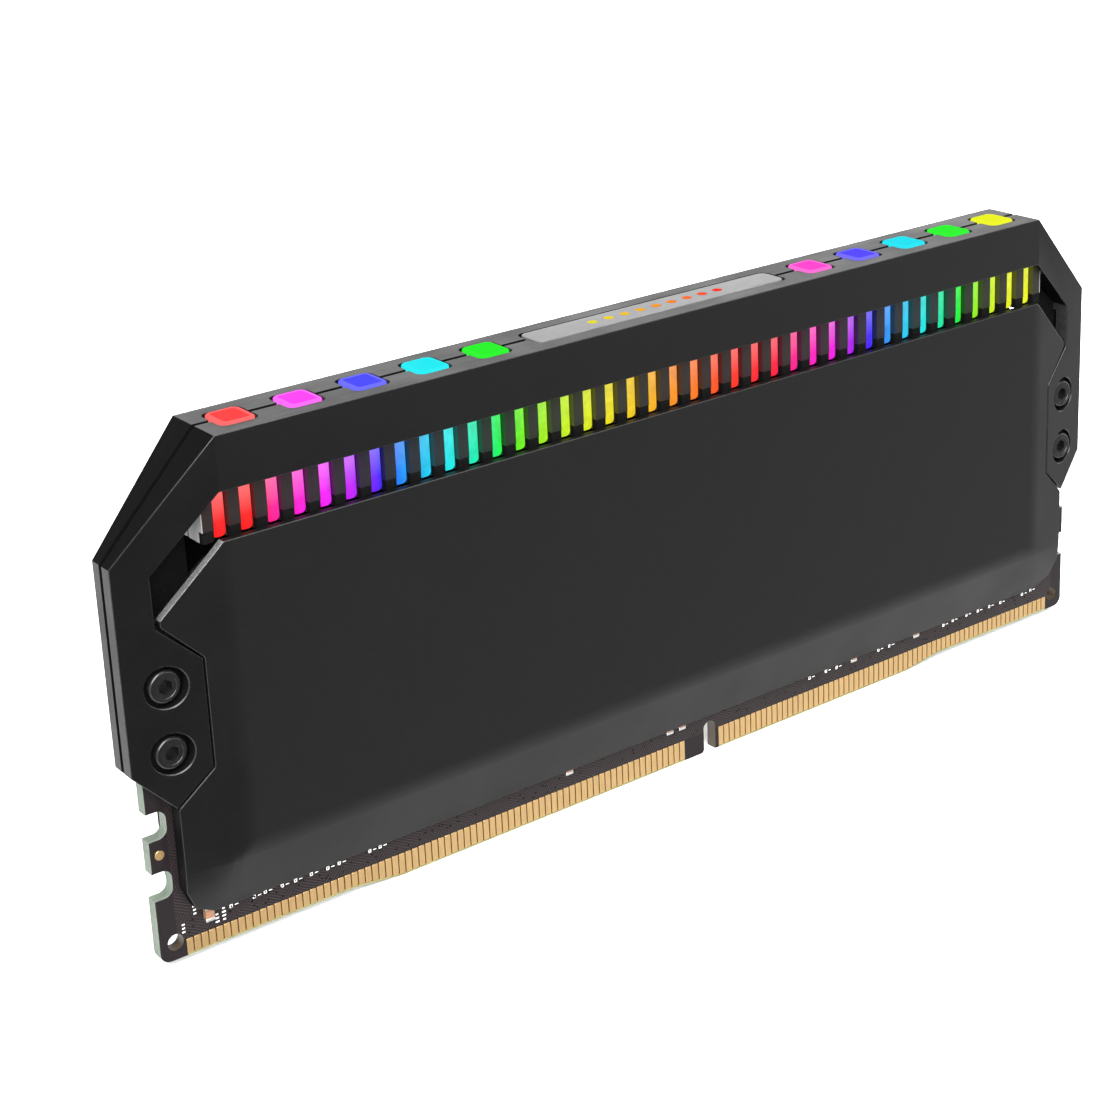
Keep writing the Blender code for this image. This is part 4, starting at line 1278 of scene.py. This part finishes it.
def make_block(node, radius, edge, sunken=()):
    """A rounded block from its CAD box, and its top face, which further rings may sink."""
    low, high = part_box(node)
    profile = [(0.0, low.z)]
    profile += [(edge * (1.0 - cosine), high.z - edge * (1.0 - sine))
                for sine, cosine in quarter(steps=5)]
    profile += [(inset, high.z - fall) for inset, fall in sunken]
    rings = []
    for inset, level in profile:
        width, depth = (size - 2 * BLOCK_INSET - 2 * inset for size in (high - low).xy)
        outline = rounded_rectangle((low.x + high.x) / 2, 0.0, width, depth,
                                    max(radius - inset, radius * LEAST_ROUNDING))
        rings.append([(x, y, level) for x, y in outline])
    bm = bmesh.new()
    return bm, add_rings(bm, rings)[1]


def make_caps():
    """Lit caps with a paler rim round a slightly sunken face."""
    sunken = ((CAP_RIM, 0.0), (CAP_RIM + CAP_RECESS, CAP_RECESS))
    for number, slot in enumerate(CAP_SLOTS, start=1):
        node = f"light_cap_{number}"
        bm, face = make_block(node, CAP_RADIUS, CAP_EDGE, sunken)
        face.material_index = 1
        make_piece(f"{node}_lens", bm, ["cap_rim", "cap_face"], [node])


def make_name_plate():
    bm, _ = make_block("name_plate", PLATE_RADIUS, PLATE_EDGE)
    make_piece("name_plate_face", bm, ["plate_grey"], ["name_plate"])
    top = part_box("name_plate")[1].z
    marks = bmesh.new()
    for number in range(PLATE_MARKS):
        place = (number - (PLATE_MARKS - 1) / 2) * PLATE_MARK_PITCH
        outline = rounded_rectangle(place, 0.0, PLATE_MARK_SIZE, PLATE_MARK_SIZE,
                                    PLATE_MARK_SIZE * 0.45)
        add_column(marks, outline, top - INK, top + INK)
    make_piece("name_plate_marks", marks, ["plate_mark"])


# ---- screws

def make_screws():
    head_base, head_top = HEAD_RANGE
    profile = [(SHANK_RADIUS, SHANK_END), (SHANK_RADIUS, head_base), (HEAD_RADIUS, head_base)]
    profile += [(HEAD_RADIUS - HEAD_EDGE * (1.0 - cosine), head_top - HEAD_EDGE * (1.0 - sine))
                for sine, cosine in quarter(steps=6)]
    profile += [(DISH_RADIUS, head_top), (DISH_RADIUS - DISH_DEPTH, head_top - DISH_DEPTH)]
    finishes = ("screw_steel", "screw_rim")
    for side, side_name in SIDES:
        for (end_name, level_name), centre in screw_centres().items():
            bm = bmesh.new()
            add_rings(bm, [[(x, side * depth, z) for x, z in circle(*centre, radius)]
                           for radius, depth in profile])
            bmesh.ops.recalc_face_normals(bm, faces=bm.faces)
            # The head's rounded rim gets the painted highlight
            paint(bm, finishes,
                  lambda face: finishes[1 if within(side * face.normal.y, HEAD_BORDER) else 0])
            socket = bmesh.new()
            add_depth_prism(socket, circle(*centre, SOCKET_RADIUS, steps=6, turn=30.0),
                            side * SOCKET_FLOOR, side * REACH)
            node = f"{side_name}_{end_name}_{level_name}_screw"
            make_piece(f"{node}_turned", carved(bm, [socket]), finishes, [node])


# ---- carried-over CAD nodes

def dress_nodes():
    for name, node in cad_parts.items():
        if node.hide_render:
            continue
        kinds = (finish for start, finish in NODE_FINISHES.items() if name.startswith(start))
        finish = next(kinds, "spacer_brass" if name.endswith("spacer") else "lamp_resin")
        node.data.materials.clear()
        node.data.materials.append(MATERIALS[finish])


# ---- stage

def add_spot(tree, direction, spot, outside):
    """Light that is `outside` all round, and fades to the spot's own towards its middle."""
    towards, start, end, inside = spot
    dot = add_node(tree, "VectorMath", {0: direction, 1: Vector(towards).normalized()},
                   operation="DOT_PRODUCT")
    return remap(tree, dot.outputs["Value"], outside, inside, start, end,
                 interpolation_type="SMOOTHSTEP")


def make_world():
    """A white studio: soft boxes overhead, at the front and low at the left, and dark flags."""
    world = bpy.data.worlds.new("studio")
    world.use_nodes = True
    tree = world.node_tree
    direction = add_node(tree, "TexCoord").outputs["Generated"]
    height = remap(tree, split(tree, direction)["Z"], 0.0, 1.0, -1.0, 1.0)
    stops = [((level + 1.0) / 2, light / SKY_PEAK) for level, light in SKY_LEVELS]
    total = calculate(tree, "MULTIPLY", add_ramp(tree, height, stops), SKY_PEAK)
    for spot in (LOW_FLAG, HIGH_FLAG):
        total = calculate(tree, "MULTIPLY", total, add_spot(tree, direction, spot, 1.0))
    for spot in (LEFT_SPOT, FRONT_SPOT):
        total = calculate(tree, "ADD", total, add_spot(tree, direction, spot, 0.0))
    feed(tree, tree.nodes["Background"], {"Color": rgba(WHITE), "Strength": total})
    bpy.context.scene.world = world
    bpy.context.scene.view_settings.view_transform = "Standard"


def make_stage():
    bm = bmesh.new()
    outline = rectangle(0.0, 0.0, 2 * FLOOR_HALF, 2 * FLOOR_HALF)
    bm.faces.new([bm.verts.new((x, y, CAD_BOX[0].z)) for x, y in outline])
    floor = add_body("floor", bm, ["floor_white"])
    floor.visible_glossy = False
    light = bpy.data.lights.new("overhead", "AREA")
    light.shape = "SQUARE"
    light.size = LIGHT_SIZE
    light.energy = LIGHT_POWER
    add_object("overhead", light).location = (0.0, 0.0, LIGHT_HEIGHT)


def make_camera():
    data = bpy.data.cameras.new("camera")
    data.lens = CAMERA_LENS
    data.sensor_width = CAMERA_SENSOR
    data.shift_y = CAMERA_SHIFT
    data.clip_start = CAMERA_NEAR
    camera = add_object("camera", data)
    camera.location = CAMERA_PLACE
    forward = Vector((math.sin(CAMERA_BEARING) * math.cos(CAMERA_DIP),
                      math.cos(CAMERA_BEARING) * math.cos(CAMERA_DIP),
                      -math.sin(CAMERA_DIP)))
    camera.rotation_mode = "QUATERNION"
    camera.rotation_quaternion = (forward.to_track_quat("-Z", "Y")
                                  @ Quaternion((0.0, 0.0, 1.0), CAMERA_ROLL))
    bpy.context.scene.camera = camera


make_materials()
make_world()
make_stage()
make_camera()
make_board()
make_contacts()
make_edge_bands()
make_fiducials()
make_vias()
make_marks()
make_capacitors()
make_spreaders()
make_frame_halves()
make_seam_fill()
make_fin_feet()
make_guide()
make_caps()
make_name_plate()
make_screws()
dress_nodes()
